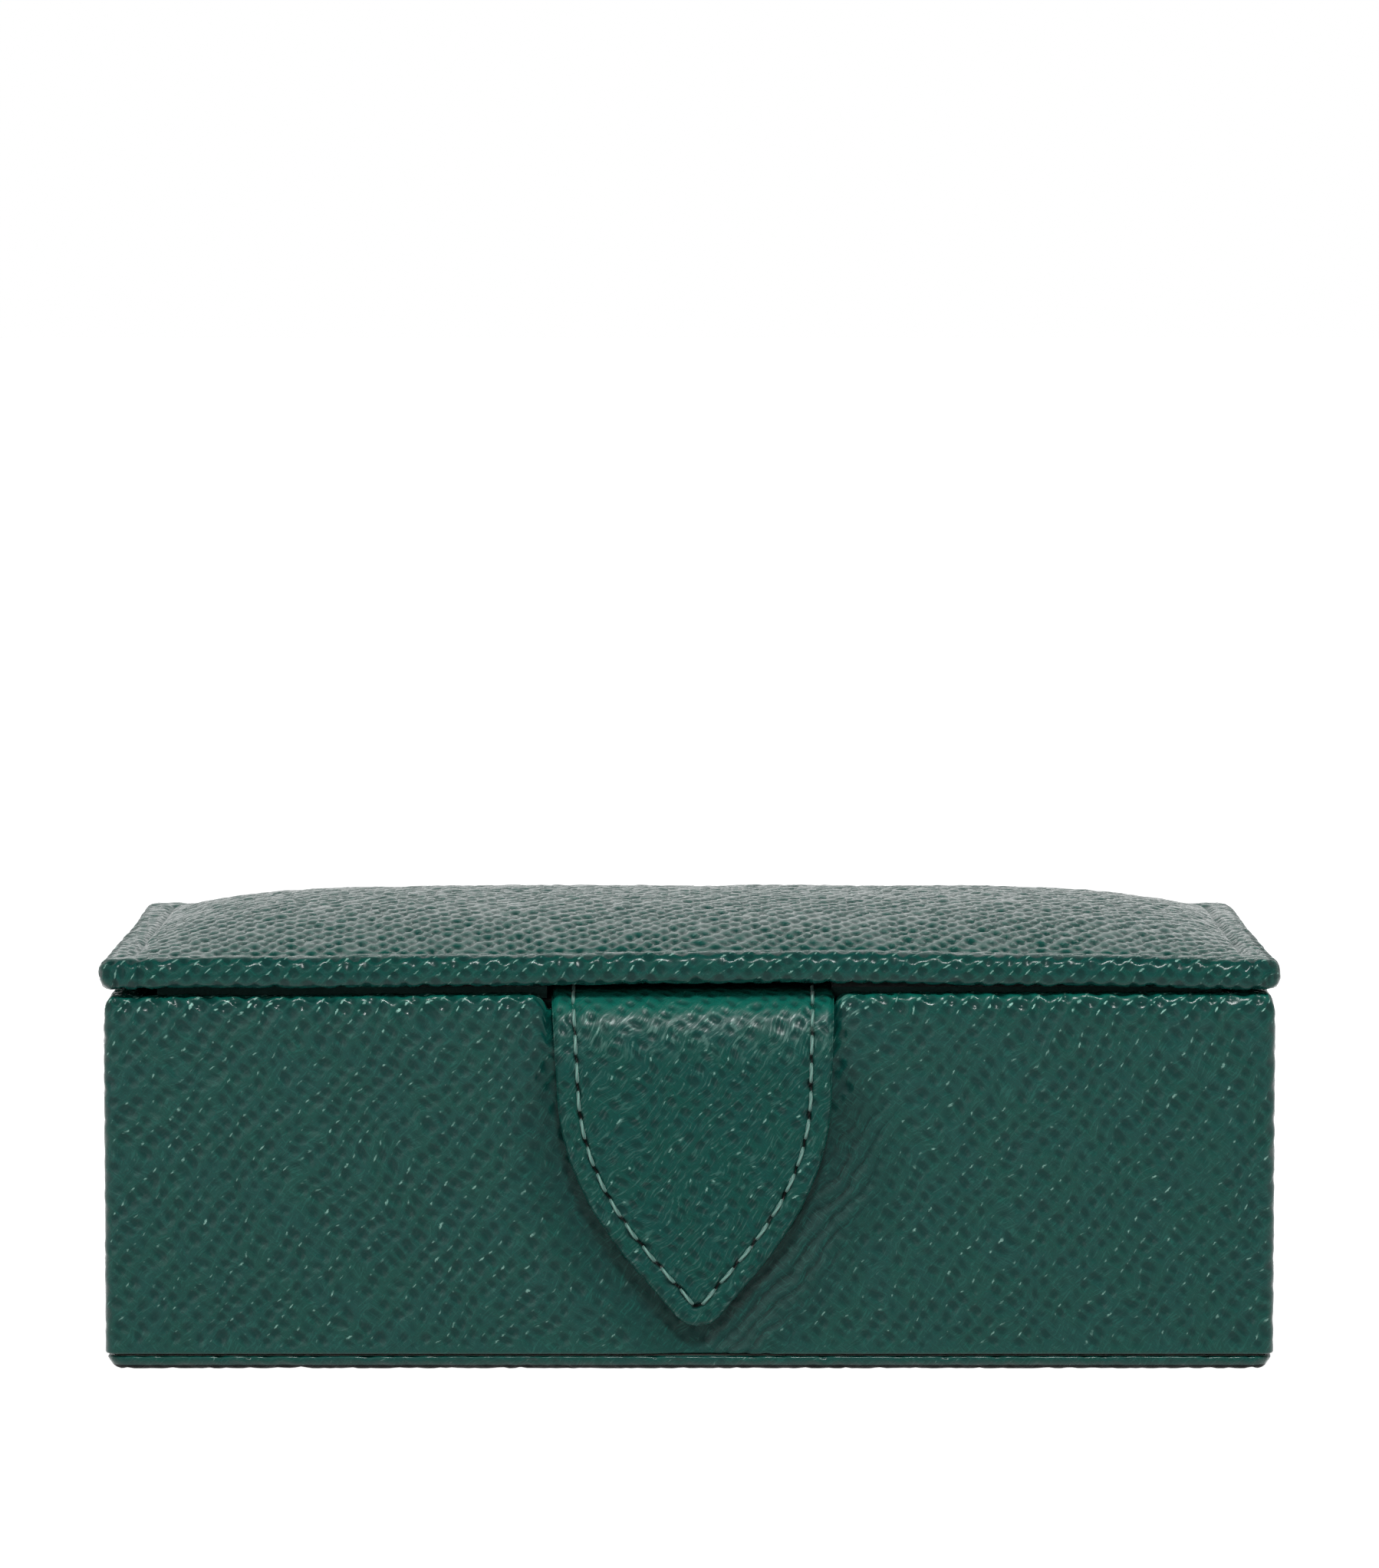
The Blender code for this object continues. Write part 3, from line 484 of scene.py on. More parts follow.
class Finish:
    """One material or world and the nodes that make it."""

    def __init__(self, name, owner=None):
        self.material = owner or bpy.data.materials.new(name)
        self.material.use_nodes = True
        self.tree = self.material.node_tree
        self.tree.nodes.clear()

    def node(self, kind, settings=None, values=None, output=0):
        """Adds a node: its settings first, then values or wires for its sockets."""
        made = self.tree.nodes.new(kind)
        for key, value in (settings or {}).items():
            setattr(made, key, value)
        for key, value in (values or {}).items():
            if isinstance(value, Wire):
                self.tree.links.new(value.socket, made.inputs[key])
            else:
                made.inputs[key].default_value = value
        return Wire(self, made.outputs[output])

    def blend(self, factor, first, second):
        """A colour between two colours."""
        sockets = {0: factor, 6: first, 7: second}
        return self.node("ShaderNodeMix", {"data_type": "RGBA"}, sockets, 2)

    def noise(self, place, scale, detail=2.0, roughness=0.5):
        values = {"Vector": place, "Scale": scale, "Detail": detail, "Roughness": roughness}
        return self.node("ShaderNodeTexNoise", None, values)

    def combine(self, x, y, z=0.0):
        return self.node("ShaderNodeCombineXYZ", None, {0: x, 1: y, 2: z})

    def split(self, vector):
        parts = self.node("ShaderNodeSeparateXYZ", None, {0: vector})
        return [Wire(self, socket) for socket in parts.socket.node.outputs]

    def step(self, value, low, high):
        """0 below low, 1 above high and smooth between."""
        settings = {"interpolation_type": "SMOOTHSTEP"}
        values = {"Value": value, "From Min": low, "From Max": high}
        return self.node("ShaderNodeMapRange", settings, values)

    def bump(self, height, distance):
        values = {"Height": height, "Distance": distance, "Strength": 1.0}
        return self.node("ShaderNodeBump", None, values)

    def attribute(self, name, output=2):
        """What the piece carries under a name: a number, or a vector with output 1."""
        return self.node("ShaderNodeAttribute", {"attribute_name": name}, None, output)

    def place(self):
        """The place on the object, in metres."""
        return self.node("ShaderNodeTexCoord", None, None, 3)

    def tint(self, base, share, colour):
        """A base with a share of a colour laid over it."""
        return self.blend(share, base, colour_of(colour))

    def surface(self, **values):
        """The Principled shader and the output; underscores stand for the sockets' spaces."""
        sockets = {key.replace("_", " "): value for key, value in values.items()}
        self.put_out(self.node("ShaderNodeBsdfPrincipled", None, sockets))
        return self.material

    def put_out(self, shader, kind="ShaderNodeOutputMaterial"):
        out = self.tree.nodes.new(kind)
        self.tree.links.new(shader.socket, out.inputs["Surface"])


def cosine(angle):
    return angle.math("COSINE", angle) if isinstance(angle, Wire) else np.cos(angle)


def bulge(cells):
    """1 at whole numbers of cells and 0 halfway between."""
    return (1 + cosine(TURN * cells)) * 0.5


def pit(across, along, power):
    """How deep in a pit of the grain a place is, from 0 on the ridges to 1 in a pit's middle."""
    return (bulge(across) * bulge(along)) ** power


# Finishes


def scaled(colour, factor):
    return tuple(part * factor for part in colour)


def colour_of(colour):
    return (*colour, 1.0)


class Leather(Finish):
    """Dyed cross-grained calf, drawn from the cells that emboss leaves on a piece."""

    def __init__(self, name, pit_power, pit_gain, rows):
        super().__init__(name)
        self.across, self.along, self.strength = self.split(self.attribute("grain", 1))
        self.spot = self.combine(self.across, self.along)
        self.speckle = self.noise(self.spot, *SPECKLE)
        # Painted shade: the pits, and with rows the valleys between them, are painted darker
        pits = pit(self.across, self.along, pit_power) * self.strength
        valleys = bulge(self.across) * VALLEY_LONG + bulge(self.along) * VALLEY_SHORT
        ragged = pits * (self.speckle * PIT_SPECKLE - PIT_SPECKLE_LOSS)
        self.shade = self.step(ragged * pit_gain + valleys * self.strength * rows, *PIT_RANGE)
        # Painted shade in pressed places; above 1, in creases, a deeper painted shade
        pressed_and_shaded = self.attribute("pressed_and_shaded")
        self.creased, self.pressed_and_shaded = (pressed_and_shaded - 1).clipped(), pressed_and_shaded.clipped()
        # Where the coat is dull, with more painted glints
        self.dull = self.attribute("dull")
        self.slant = self.streaks(*SLANT_LINES)
        crossing = self.streaks(*CROSS_LINES) * CROSS_LINE_SHARE
        self.hair = self.slant.math("MAXIMUM", self.slant, crossing)
        self.rim = self.painted_glints()

    def streaks(self, across, along, seed, low, roughness):
        """Fine lines: noise that is drawn out across the rows or along them."""
        drawn_out = self.combine(self.across * across, self.along * along, seed)
        return self.step(self.noise(drawn_out, *LINE_NOISE, roughness), low, LINE_FULL)

    def painted_glints(self):
        """Painted glints: pale marks on the upper rims of some of the pits, which are also smoother and
        raised.
        """
        wobble = self.speckle * RIM_WOBBLE - RIM_WOBBLE / 2
        rim = bulge(self.across + wobble + GLINT_ACROSS) ** RIM_THINNESS
        rim = rim * bulge(self.along - GLINT_ALONG) ** RIM_LENGTH_POWER
        lit = self.step(self.noise(self.spot, *LIT_PATCHES) + self.dull * MORE_GLINTS, *LIT_RANGE)
        return self.step(rim * self.strength, *RIM_RANGE) * lit * (1 - self.pressed_and_shaded)

    def colour(self, glint):
        """Two dyes in patches with paler speckle and fine lines, painted shade in the pits, valleys,
        pressed places and creases, and painted glints on rims.
        """
        patches = self.step(self.noise(self.spot, *DYE_PATCHES), *DYE_RANGE)
        base = self.blend(patches, colour_of(GREEN), colour_of(TEAL))
        speckled = self.step(self.speckle, *SPECKLE_RANGE) * SPECKLE_SHADE
        base = self.tint(base, speckled, scaled(GREEN, SPECKLE_BRIGHTER))
        base = self.tint(base, self.shade * PIT_SHADE, PAINTED_SHADE_COLOUR)
        base = self.tint(base, self.pressed_and_shaded * PRESSED_SHADE, PAINTED_SHADE_COLOUR)
        base = self.tint(base, self.creased * CREASED_SHADE, DEEP_SHADE)
        base = self.tint(base, self.rim * (self.dull * DULL_GLINT + glint), GLINT_COLOUR)
        lines = self.hair * HAIR_SHADE * (1 - self.shade)
        return self.tint(base, lines, scaled(GREEN, LINES_BRIGHTER))

    def shine(self, base):
        """Painted sheen as pale streaks, and painted light as a brighter green."""
        painted_sheen = self.streaks(*SHEEN_LINES) * self.attribute("painted_sheen") * (1 - self.shade)
        base = self.tint(base, painted_sheen * SHEEN_SHARE, GLINT_COLOUR)
        painted_light = self.attribute("painted_light") * (1 - self.shade * LIT_GREEN_PIT_LOSS)
        return self.tint(base, painted_light * LIT_GREEN_SHARE, LIT_GREEN)

    def roughness(self):
        dull = LEATHER_ROUGHNESS + self.shade * PIT_ROUGHNESS
        return dull - self.hair * LINE_POLISH - self.rim * RIM_POLISH

    def coat(self):
        """The clear finish, thinner in the pits and where the leather is pressed or dull."""
        facing = self.node("ShaderNodeLayerWeight", None, {"Blend": 0.5}, 1)
        coat = COAT_LEAST + facing + self.hair * LINE_COAT - self.shade * PIT_COAT_LOSS
        return coat * (1 - self.pressed_and_shaded * PRESSED_COAT_LOSS) * (1 - self.dull * DULL_LOSS)

    def relief(self, hair_height):
        """The height of the fine lines, the pores, the pebbles, the pits and the rims."""
        pebbles, pores = self.noise(self.spot, *PEBBLES), self.noise(self.spot, *PORES)
        lines = self.hair * hair_height * (1 - self.shade * LINES_LOST_IN_PITS)
        height = lines + pores * PORE_HEIGHT + pebbles * PEBBLE_HEIGHT
        return height - self.shade * PIT_FALL + self.rim


def leather(name, pit_power=1.0, pit_gain=1.0, hair_height=1.0, coat_rough=0.18, glint=0.65,
            rows=0.0, contact_shade=0.0, sewn=False, painted_shine=False):
    """Grained calf. It may be sewn, carry painted sheen and painted light, or have a painted contact
    shadow along its foot, up to a given height.
    """
    f = Leather(name, pit_power, pit_gain, rows)
    base, rough, coat = f.colour(glint), f.roughness(), f.coat()
    if sewn:
        # Painted shade in the needle holes
        hole = f.attribute("hole")
        base = f.tint(base, hole.clipped(), DEEP_SHADE)
        rough = rough + hole * 0.5
        coat = coat * (0.45 + f.slant * 1.1)
    # Painted sheen and painted light
    if painted_shine:
        base = f.shine(base)
    # Painted contact shadow: near black below the given height, with no coat
    if contact_shade:
        rise = f.split(f.place())[2]
        base = f.tint(base, f.step(rise, contact_shade * 1.3, contact_shade), DEEP_SHADE)
        coat = coat * f.step(rise, contact_shade, contact_shade * 1.3)
    return f.surface(Base_Color=base, Roughness=rough.clipped(), IOR=1.12,
                     Normal=f.bump(f.relief(hair_height), LEATHER_BUMP),
                     Coat_Weight=coat.clipped(), Coat_Roughness=coat_rough, Coat_IOR=1.5)


def suede(name):
    """Napped lining: soft brushed patches over a fine fibre."""
    f = Finish(name)
    place = f.place()
    brushed, fibre = f.noise(place, *BRUSHED_PATCHES), f.noise(place, *FIBRE)
    base = f.blend(f.step(brushed, 0.35, 0.7), colour_of(scaled(SUEDE, 0.85)),
                   colour_of(scaled(SUEDE, 1.20)))
    base = f.tint(base, f.step(fibre, 0.45, 0.7) * 0.5, scaled(SUEDE, 1.9))
    return f.surface(Base_Color=base, Roughness=0.86 + fibre * 0.12, IOR=1.3,
                     Normal=f.bump(fibre, SUEDE_BUMP), Sheen_Weight=0.25, Sheen_Roughness=0.5)


def thread_finish(name):
    """Waxed thread, with painted shade between its plies."""
    f = Finish(name)
    twist = f.attribute("twist")
    base = f.blend(f.step(twist, 0.2, 0.8), colour_of(THREAD_DARK), colour_of(THREAD_LIGHT))
    return f.surface(Base_Color=base, Roughness=0.5 + twist * 0.1, Sheen_Weight=0.2)


def board_finish(name):
    """Grey binder's board: felted pulp with darker flecks."""
    f = Finish(name)
    place = f.place()
    pulp, flecks = f.noise(place, *PULP), f.noise(place, *FLECKS)
    base = f.blend(f.step(pulp, 0.3, 0.7), colour_of(BOARD_DARK), colour_of(BOARD_LIGHT))
    base = f.tint(base, f.step(flecks, 0.62, 0.7) * 0.6, BOARD_FLECK)
    return f.surface(Base_Color=base, Roughness=0.85 + pulp * 0.1, Normal=f.bump(pulp, BOARD_BUMP))


def steel_finish(name):
    """Plated magnet: fine turned scratches."""
    f = Finish(name)
    scratches = f.noise(f.place(), *SCRATCHES)
    base = f.blend(scratches, colour_of(STEEL_DARK), colour_of(STEEL_LIGHT))
    return f.surface(Base_Color=base, Roughness=0.22 + scratches * 0.2, Metallic=1.0)


# Meshes as arrays


def read(mesh, what="co"):
    values = np.empty(len(mesh.vertices) * 3, np.float32)
    mesh.vertices.foreach_get(what, values)
    return values.reshape(-1, 3).astype(float)


def write(mesh, places):
    mesh.vertices.foreach_set("co", places.astype(np.float32).ravel())
    mesh.update()


def mesh_piece(bm, name):
    """An object at the origin from a finished bmesh."""
    mesh = bpy.data.meshes.new(name)
    bm.to_mesh(mesh)
    bm.free()
    piece = bpy.data.objects.new(name, mesh)
    bpy.context.scene.collection.objects.link(piece)
    mesh.shade_smooth()
    return piece


def soften(piece, radius):
    """Rounds a slab's sharp edges with a finishing bevel."""
    piece.data.shade_smooth()
    edge = piece.modifiers.new("soft edge", "BEVEL")
    edge.width = radius
    edge.segments = 3
    edge.limit_method = "ANGLE"
    edge.angle_limit = math.radians(60)
    weighted = piece.modifiers.new("even shading", "WEIGHTED_NORMAL")
    weighted.keep_sharp = True


def turn_outwards(piece):
    bm = bmesh.new()
    bm.from_mesh(piece.data)
    bmesh.ops.recalc_face_normals(bm, faces=bm.faces)
    bm.to_mesh(piece.data)
    bm.free()


def numbers(mesh, name):
    """A vertex attribute as an array, taken off the mesh."""
    layer = mesh.attributes[name]
    values = np.empty(len(mesh.vertices), np.int32)
    layer.data.foreach_get("value", values)
    mesh.attributes.remove(layer)
    return values


def store(mesh, name, values, domain="POINT"):
    kind = "FLOAT_VECTOR" if values.ndim == 2 else "FLOAT"
    layer = mesh.attributes.new(name, kind, domain)
    key = "vector" if values.ndim == 2 else "value"
    layer.data.foreach_set(key, values.astype(np.float32).ravel())


def grow_rings(bm, edges, count, ring):
    """Extrudes a loop of edges count times; each new vertex keeps its ring's number."""
    for k in range(1, count + 1):
        grown = bmesh.ops.extrude_edge_only(bm, edges=edges)["geom"]
        for part in grown:
            if isinstance(part, bmesh.types.BMVert):
                part[ring] = k
        edges = [part for part in grown if isinstance(part, bmesh.types.BMEdge)
                 and part.verts[0][ring] == k and part.verts[1][ring] == k]
    return edges


def thicken(bm, cuts=0):
    """Grows a flat grid into a slab from z = 0 to z = 1, with cuts in its side walls."""
    for part in bmesh.ops.extrude_face_region(bm, geom=bm.faces[:])["geom"]:
        if isinstance(part, bmesh.types.BMVert):
            part.co.z = 1
    if cuts:
        bmesh.ops.subdivide_edges(bm, edges=upright(bm), cuts=cuts, use_grid_fill=True)


def upright(bm):
    """The edges that run upwards: a slab's side edges, or a rod's long ones."""
    return [edge for edge in bm.edges if abs(edge.verts[0].co.z - edge.verts[1].co.z) > 0.5]


def sheet(name, columns, rows, cuts=0):
    """A slab of columns by rows, and each vertex's shares across, along and through it."""
    bm = bmesh.new()
    bmesh.ops.create_grid(bm, x_segments=columns, y_segments=rows, size=1.0)
    thicken(bm, cuts)
    piece = mesh_piece(bm, name)
    across, along, layer = read(piece.data).T
    return piece, (across + 1) / 2, (along + 1) / 2, layer


def settle(piece, places):
    """Moves a piece's vertices to their places and turns its faces outwards."""
    write(piece.data, places)
    turn_outwards(piece)


def press(piece, depth):
    """Sinks a piece's vertices along their normals."""
    mesh = piece.data
    write(mesh, read(mesh) - read(mesh, "normal") * depth[:, None])


def plan_of(low, high):
    """A box's half sizes and its middle, seen from above."""
    half = np.array([(high.x - low.x) / 2, (high.y - low.y) / 2])
    centre = np.array([(high.x + low.x) / 2, (high.y + low.y) / 2])
    return half, centre


def from_ends(value, low, high):
    return np.minimum(value - low, high - value)


def steps(count):
    """The ends of count equal steps from 0 to 1."""
    return [i / count for i in range(1, count + 1)]


def stations(half, pitch, border, border_pitch):
    """Places from -half to half, closer together near both ends."""
    inner = half - border
    edge_count, middle_count = round(border / border_pitch), round(2 * inner / pitch)
    return np.concatenate([np.linspace(-half, -inner, edge_count, endpoint=False),
                           np.linspace(-inner, inner, middle_count, endpoint=False),
                           np.linspace(inner, half, edge_count + 1)])


def between(low, high, share):
    """From low at share 0 to high at share 1."""
    return low + (high - low) * share


def smooth_step(value, low, high):
    share = np.clip((value - low) / (high - low), 0, 1)
    return share * share * (3 - 2 * share)


def hump(value, place, reach):
    """1 at a place and falling off smoothly to both sides."""
    return np.exp(-((value - place) / reach) ** 2)


# The grain


def wander(u, v, size, seed):
    """Three smooth random fields over a surface, each about -0.5 to 0.5."""
    scale = 1 / size
    return np.array([noise.noise_vector((a * scale, b * scale, seed)) for a, b in zip(u, v)])


def grain_cells(u, v, seed, pattern=GRAIN):
    """Where (u, v) lies among the rows of pits, in cells, and how strong the grain is there."""
    long_cell, short_cell, slant, wild = pattern
    slow, quick = wander(u, v, SLOW_WANDER, seed), wander(u, v, QUICK_WANDER, seed + 11.0)
    vary = wander(u, v, PITS_VARY_OVER, seed + 23.0)[:, 0]
    slant_sin, slant_cos = math.sin(slant), math.cos(slant)
    shift = slow * SLOW_WANDER_CELLS + quick * QUICK_WANDER_CELLS * wild
    across = (u * slant_sin - v * slant_cos) / long_cell + shift[:, 0]
    along = (u * slant_cos + v * slant_sin) / short_cell + shift[:, 1]
    strength = STRENGTH_MEAN + STRENGTH_VARIES * vary * wild + STRENGTH_DRIFTS * slow[:, 2]
    return np.column_stack([across, along, np.clip(strength, *STRENGTH_RANGE)])


def emboss(piece, u, v, relief, seed, pit_power=1.0, depth=GRAIN_DEPTH, seam=None, pattern=GRAIN):
    """Presses the grain into a piece along its normals and leaves its cells as an attribute.

    A seam is where a closed wall's last column meets its first: which vertices lie in the first,
    how far round the wall is, each vertex's column and the last column. The faces between the two
    are given the cells that follow the last column's."""
    cells = grain_cells(u, v, seed, pattern)
    cells[:, 2] *= relief
    sink = depth * cells[:, 2] * pit(cells[:, 0], cells[:, 1], pit_power)
    sink += UNEVEN * relief * wander(u, v, UNEVEN_OVER, seed + 31.0)[:, 0]
    press(piece, sink)
    mesh = piece.data
    if seam is None:
        store(mesh, "grain", cells)
        return
    start, turn, column, last = seam
    corners = np.empty(len(mesh.loops), np.int32)
    mesh.loops.foreach_get("vertex_index", corners)
    late = cells.copy()
    late[start] = grain_cells(u[start] + turn, v[start], seed)
    late[start, 2] *= relief[start]
    faces = np.empty(len(mesh.polygons), np.int32)
    mesh.polygons.foreach_get("loop_total", faces)
    owner = np.repeat(np.arange(len(faces)), faces)
    crossing = np.zeros(len(faces), bool)
    crossing[owner[column[corners] == last]] = True
    values = np.where(crossing[owner][:, None], late[corners], cells[corners])
    store(mesh, "grain", values, "CORNER")


# Panels: a flat face with a rounded edge, turned under all round


def panel(name, half, pitch, border, border_pitch, ring_count):
    """A grid, finer near its border, with rings of faces grown from it and a cap at the end."""
    xs, ys = (stations(side, pitch, border, border_pitch) for side in half)
    bm = bmesh.new()
    columns, rows = len(xs) - 1, len(ys) - 1
    bmesh.ops.create_grid(bm, x_segments=columns, y_segments=rows, size=1.0)
    for vert in bm.verts:
        vert.co = (xs[round((vert.co.x + 1) / 2 * columns)],
                   ys[round((vert.co.y + 1) / 2 * rows)], 0)
    ring = bm.verts.layers.int.new("ring")
    edges = grow_rings(bm, [e for e in bm.edges if e.is_boundary], ring_count, ring)
    bmesh.ops.contextual_create(bm, geom=edges)
    return mesh_piece(bm, name)


def edge_profile(height, top_radius, low_radius, turn_in, inner, chamfer=0.0):
    """Rows of (inset, drop, run) down a panel's edge, under it and round the room inside.

    The top's rounding turns into a straight chamfer as chamfer goes from 0 to 1."""
    rows = []
    for share in steps(EDGE_TOP_STEPS):
        angle = QUARTER_TURN * share
        inset = (1 - math.sin(angle)) * (1 - chamfer) + (1 - share) * chamfer
        drop = (1 - math.cos(angle)) * (1 - chamfer) + share * chamfer
        rows.append((top_radius * inset, top_radius * drop, top_radius * angle))
    run = rows[-1][2]
    side = height - top_radius - low_radius
    for share in steps(EDGE_SIDE_STEPS):
        rows.append((0.0, top_radius + side * share, run + side * share))
    run = rows[-1][2]
    for share in steps(EDGE_LOW_STEPS):
        angle = QUARTER_TURN * share
        rows.append((low_radius * (1 - math.cos(angle)),
                     height - low_radius * (1 - math.sin(angle)), run + low_radius * angle))
    run = rows[-1][2]
    for share in steps(EDGE_UNDER_STEPS):
        reach = (turn_in - low_radius) * share
        rows.append((low_radius + reach, height, run + reach))
    run = rows[-1][2]
    return np.array(rows + [(inset, drop, run) for inset, drop in inner])


def wrap_panel(piece, centre, half, corner, edge_radius, profile):
    """Rounds a panel's corners in plan and lays its rings down the edge.

    Returns the ring of each vertex, its plan place from the centre, and its grain place."""
    mesh = piece.data
    ring = numbers(mesh, "ring")
    flat = read(mesh)[:, :2]
    inner = half - corner
    near = np.clip(flat, -inner, inner)
    way = flat - near
    start = corner - edge_radius
    share = way / start
    way = way * np.sqrt(np.clip(1 - share[:, ::-1] ** 2 / 2, 0, 1))
    reach = np.linalg.norm(way, axis=1)
    way /= np.maximum(reach, TINY)[:, None]
    rows = np.vstack([[(edge_radius, 0.0, 0.0)], profile])[ring]
    reach = np.where(ring == 0, reach, corner - rows[:, 0])
    plan = near + way * reach[:, None]
    overshoot = rows[:, 0] > corner
    turned = np.clip(flat, -(half - rows[:, :1]), half - rows[:, :1])
    plan[overshoot] = turned[overshoot]
    grain = near + way * np.where(ring == 0, reach, start + rows[:, 2])[:, None]
    places = np.column_stack([plan + centre, -rows[:, 1]])
    write(mesh, places)
    return ring, plan, grain


# Lid


def dome(x, y, half):
    """How far the padded top stands above the lid's flat border."""
    across = np.minimum(np.abs(x) / (half[0] - CREASE_INSET), 1)
    along = np.minimum(np.abs(y) / (half[1] - CREASE_INSET), 1)
    sides = (1 - across ** DOME_SIDE_POWER) ** DOME_FULLNESS
    return DOME_RISE * sides * (1 - along ** np.where(y < 0, DOME_FRONT_POWER, DOME_BACK_POWER))


def inside_rounded(plan, half, corner):
    """Distance in from a rectangle's rounded edge."""
    from_corner = np.maximum(np.abs(plan) - (half - corner), 0)
    straight = np.min(half - np.abs(plan), axis=1)
    return np.where(from_corner.min(axis=1) > 0,
                    corner - np.linalg.norm(from_corner, axis=1), straight)


def lid_bow(x, y, half):
    """The front edge rises over the tab, less and less towards its ends and the hinge."""
    over_tab = LID_LIFT + LID_BOW * hump(x, LID_BOW_PLACE, LID_BOW_WIDTH)
    near_end = smooth_step(np.abs(x), LID_BOW_END_SHARE * half[0], half[0])
    near_front = 1 - smooth_step(y + half[1], 0, LID_BOW_REACH)
    return over_tab * (1 - LID_BOW_END_LOSS * near_end) * near_front


def lid_crease(plan, half):
    """The pressed line round the dome, fainter along the front."""
    inset = inside_rounded(plan, half, CREASE_CORNER + CREASE_INSET)
    in_front = plan[:, 1] < CREASE_INSET + CREASE_CORNER - half[1]
    return hump(inset, CREASE_INSET, CREASE_HALF_WIDTH) * (1 - FRONT_CREASE_LOSS * in_front)


def lid_folds(grain):
    """The gathered leather's folds near both ends of the front edge."""
    folds = np.max([hump(grain[:, 0], place, FOLD_WIDTH) for place in LID_FOLDS], axis=0)
    return folds * (grain[:, 1] < 0)


def lid_cover():
    """Leather over foam: domed inside a pressed crease, a rounded edge, turned under."""
    low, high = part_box("lid_leather_cover")
    half, centre = plan_of(low, high)
    rim = high.z - DOME_RISE
    height = rim - low.z
    room = ((LID_TURN_IN, height - SKIVED_LEATHER), (LID_BOARD_ROOM, height - LEATHER),
            (LID_BOARD_ROOM, LID_CEILING))
    profile = edge_profile(height, LID_EDGE_RADIUS, LID_LOW_RADIUS, LID_TURN_IN, room)
    piece = panel("lid_cover", half - LID_EDGE_RADIUS, LID_MESH, LID_BORDER, LID_BORDER_MESH,
                  len(profile))
    ring, plan, grain = wrap_panel(piece, centre, half, LID_CORNER_RADIUS, LID_EDGE_RADIUS, profile)
    mesh = piece.data
    top = ring == 0
    outer = ring <= len(profile) - len(room)
    crease = lid_crease(plan, half) * top
    places = read(mesh)
    places[:, 2] += rim + dome(plan[:, 0], plan[:, 1], half) * top - CREASE_DEPTH * crease
    uneven = wander(grain[:, 0], grain[:, 1], LID_UNEVEN_OVER, seed=5.0)[:, 0] * LID_UNEVEN
    places[:, 2] += uneven * outer + lid_bow(plan[:, 0], plan[:, 1], half)
    back = (plan[:, 1] + half[1]) / (2 * half[1])
    places[:, 0] *= 1 - outer * (LID_TAPER * back + LID_WAIST * np.sin(math.pi * back.clip(0, 1)))
    settle(piece, places)
    folds = lid_folds(grain) * outer * ~top
    press(piece, FOLD_DEPTH * folds)
    relief = np.where(top, LID_RELIEF, LID_EDGE_RELIEF) * outer * (1 - CREASE_CALM * crease)
    relief *= 1 - LID_BACK_CALM * smooth_step(plan[:, 1] / half[1], *LID_BACK_CALM_SHARES)
    emboss(piece, grain[:, 0], grain[:, 1], relief, seed=1.0, pattern=LID_GRAIN)
    # Painted shade in the crease and the folds, which also thins the coat there
    store(mesh, "pressed_and_shaded", np.maximum(crease, folds))
    # A duller coat on the edge, with more painted glints
    store(mesh, "dull", outer * ~top * np.where(ring <= LID_DULL_RINGS, *LID_EDGE_DULL_AND_GLINTS))
    # Painted light: a brighter green over the top
    store(mesh, "painted_light", LID_LIT_GREEN * top)
    mesh.materials.append(leather("lid_leather", pit_gain=LID_PIT_GAIN, glint=LID_GLINT,
                                  painted_shine=True))
    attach(piece, "lid")
    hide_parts("lid_leather_cover", "lid_padding")


def lid_stiffener():
    """The lid's board, bowed with its leather."""
    low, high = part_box("lid_board")
    half, centre = plan_of(*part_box("lid_leather_cover"))
    piece, across, along, layer = sheet("lid_stiffener", *LID_BOARD_CELLS)
    x = between(low.x, high.x, across)
    y = between(low.y, high.y, along)
    z = between(low.z, high.z, layer) + lid_bow(x, y - centre[1], half)
    settle(piece, np.column_stack([x * (1 - LID_TAPER - LID_WAIST), y, z]))
    soften(piece, LID_BOARD_SOFTNESS)
    piece.data.materials.append(board_finish("lid_board"))
    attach(piece, "lid")
    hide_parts("lid_board")


# Base


def arc_rows(centre, radius, start, end, count):
    """Points (inset, height) round an arc, without its first."""
    angles = [between(start, end, share) for share in steps(count)]
    return [(centre[0] + radius * math.cos(angle), centre[1] + radius * math.sin(angle))
            for angle in angles]


def straight_rows(start, end, pitch):
    """Points along a straight line, about a pitch apart, without its first."""
    count = max(1, round(math.dist(start, end) / pitch))
    return [(between(start[0], end[0], share), between(start[1], end[1], share))
            for share in steps(count)]


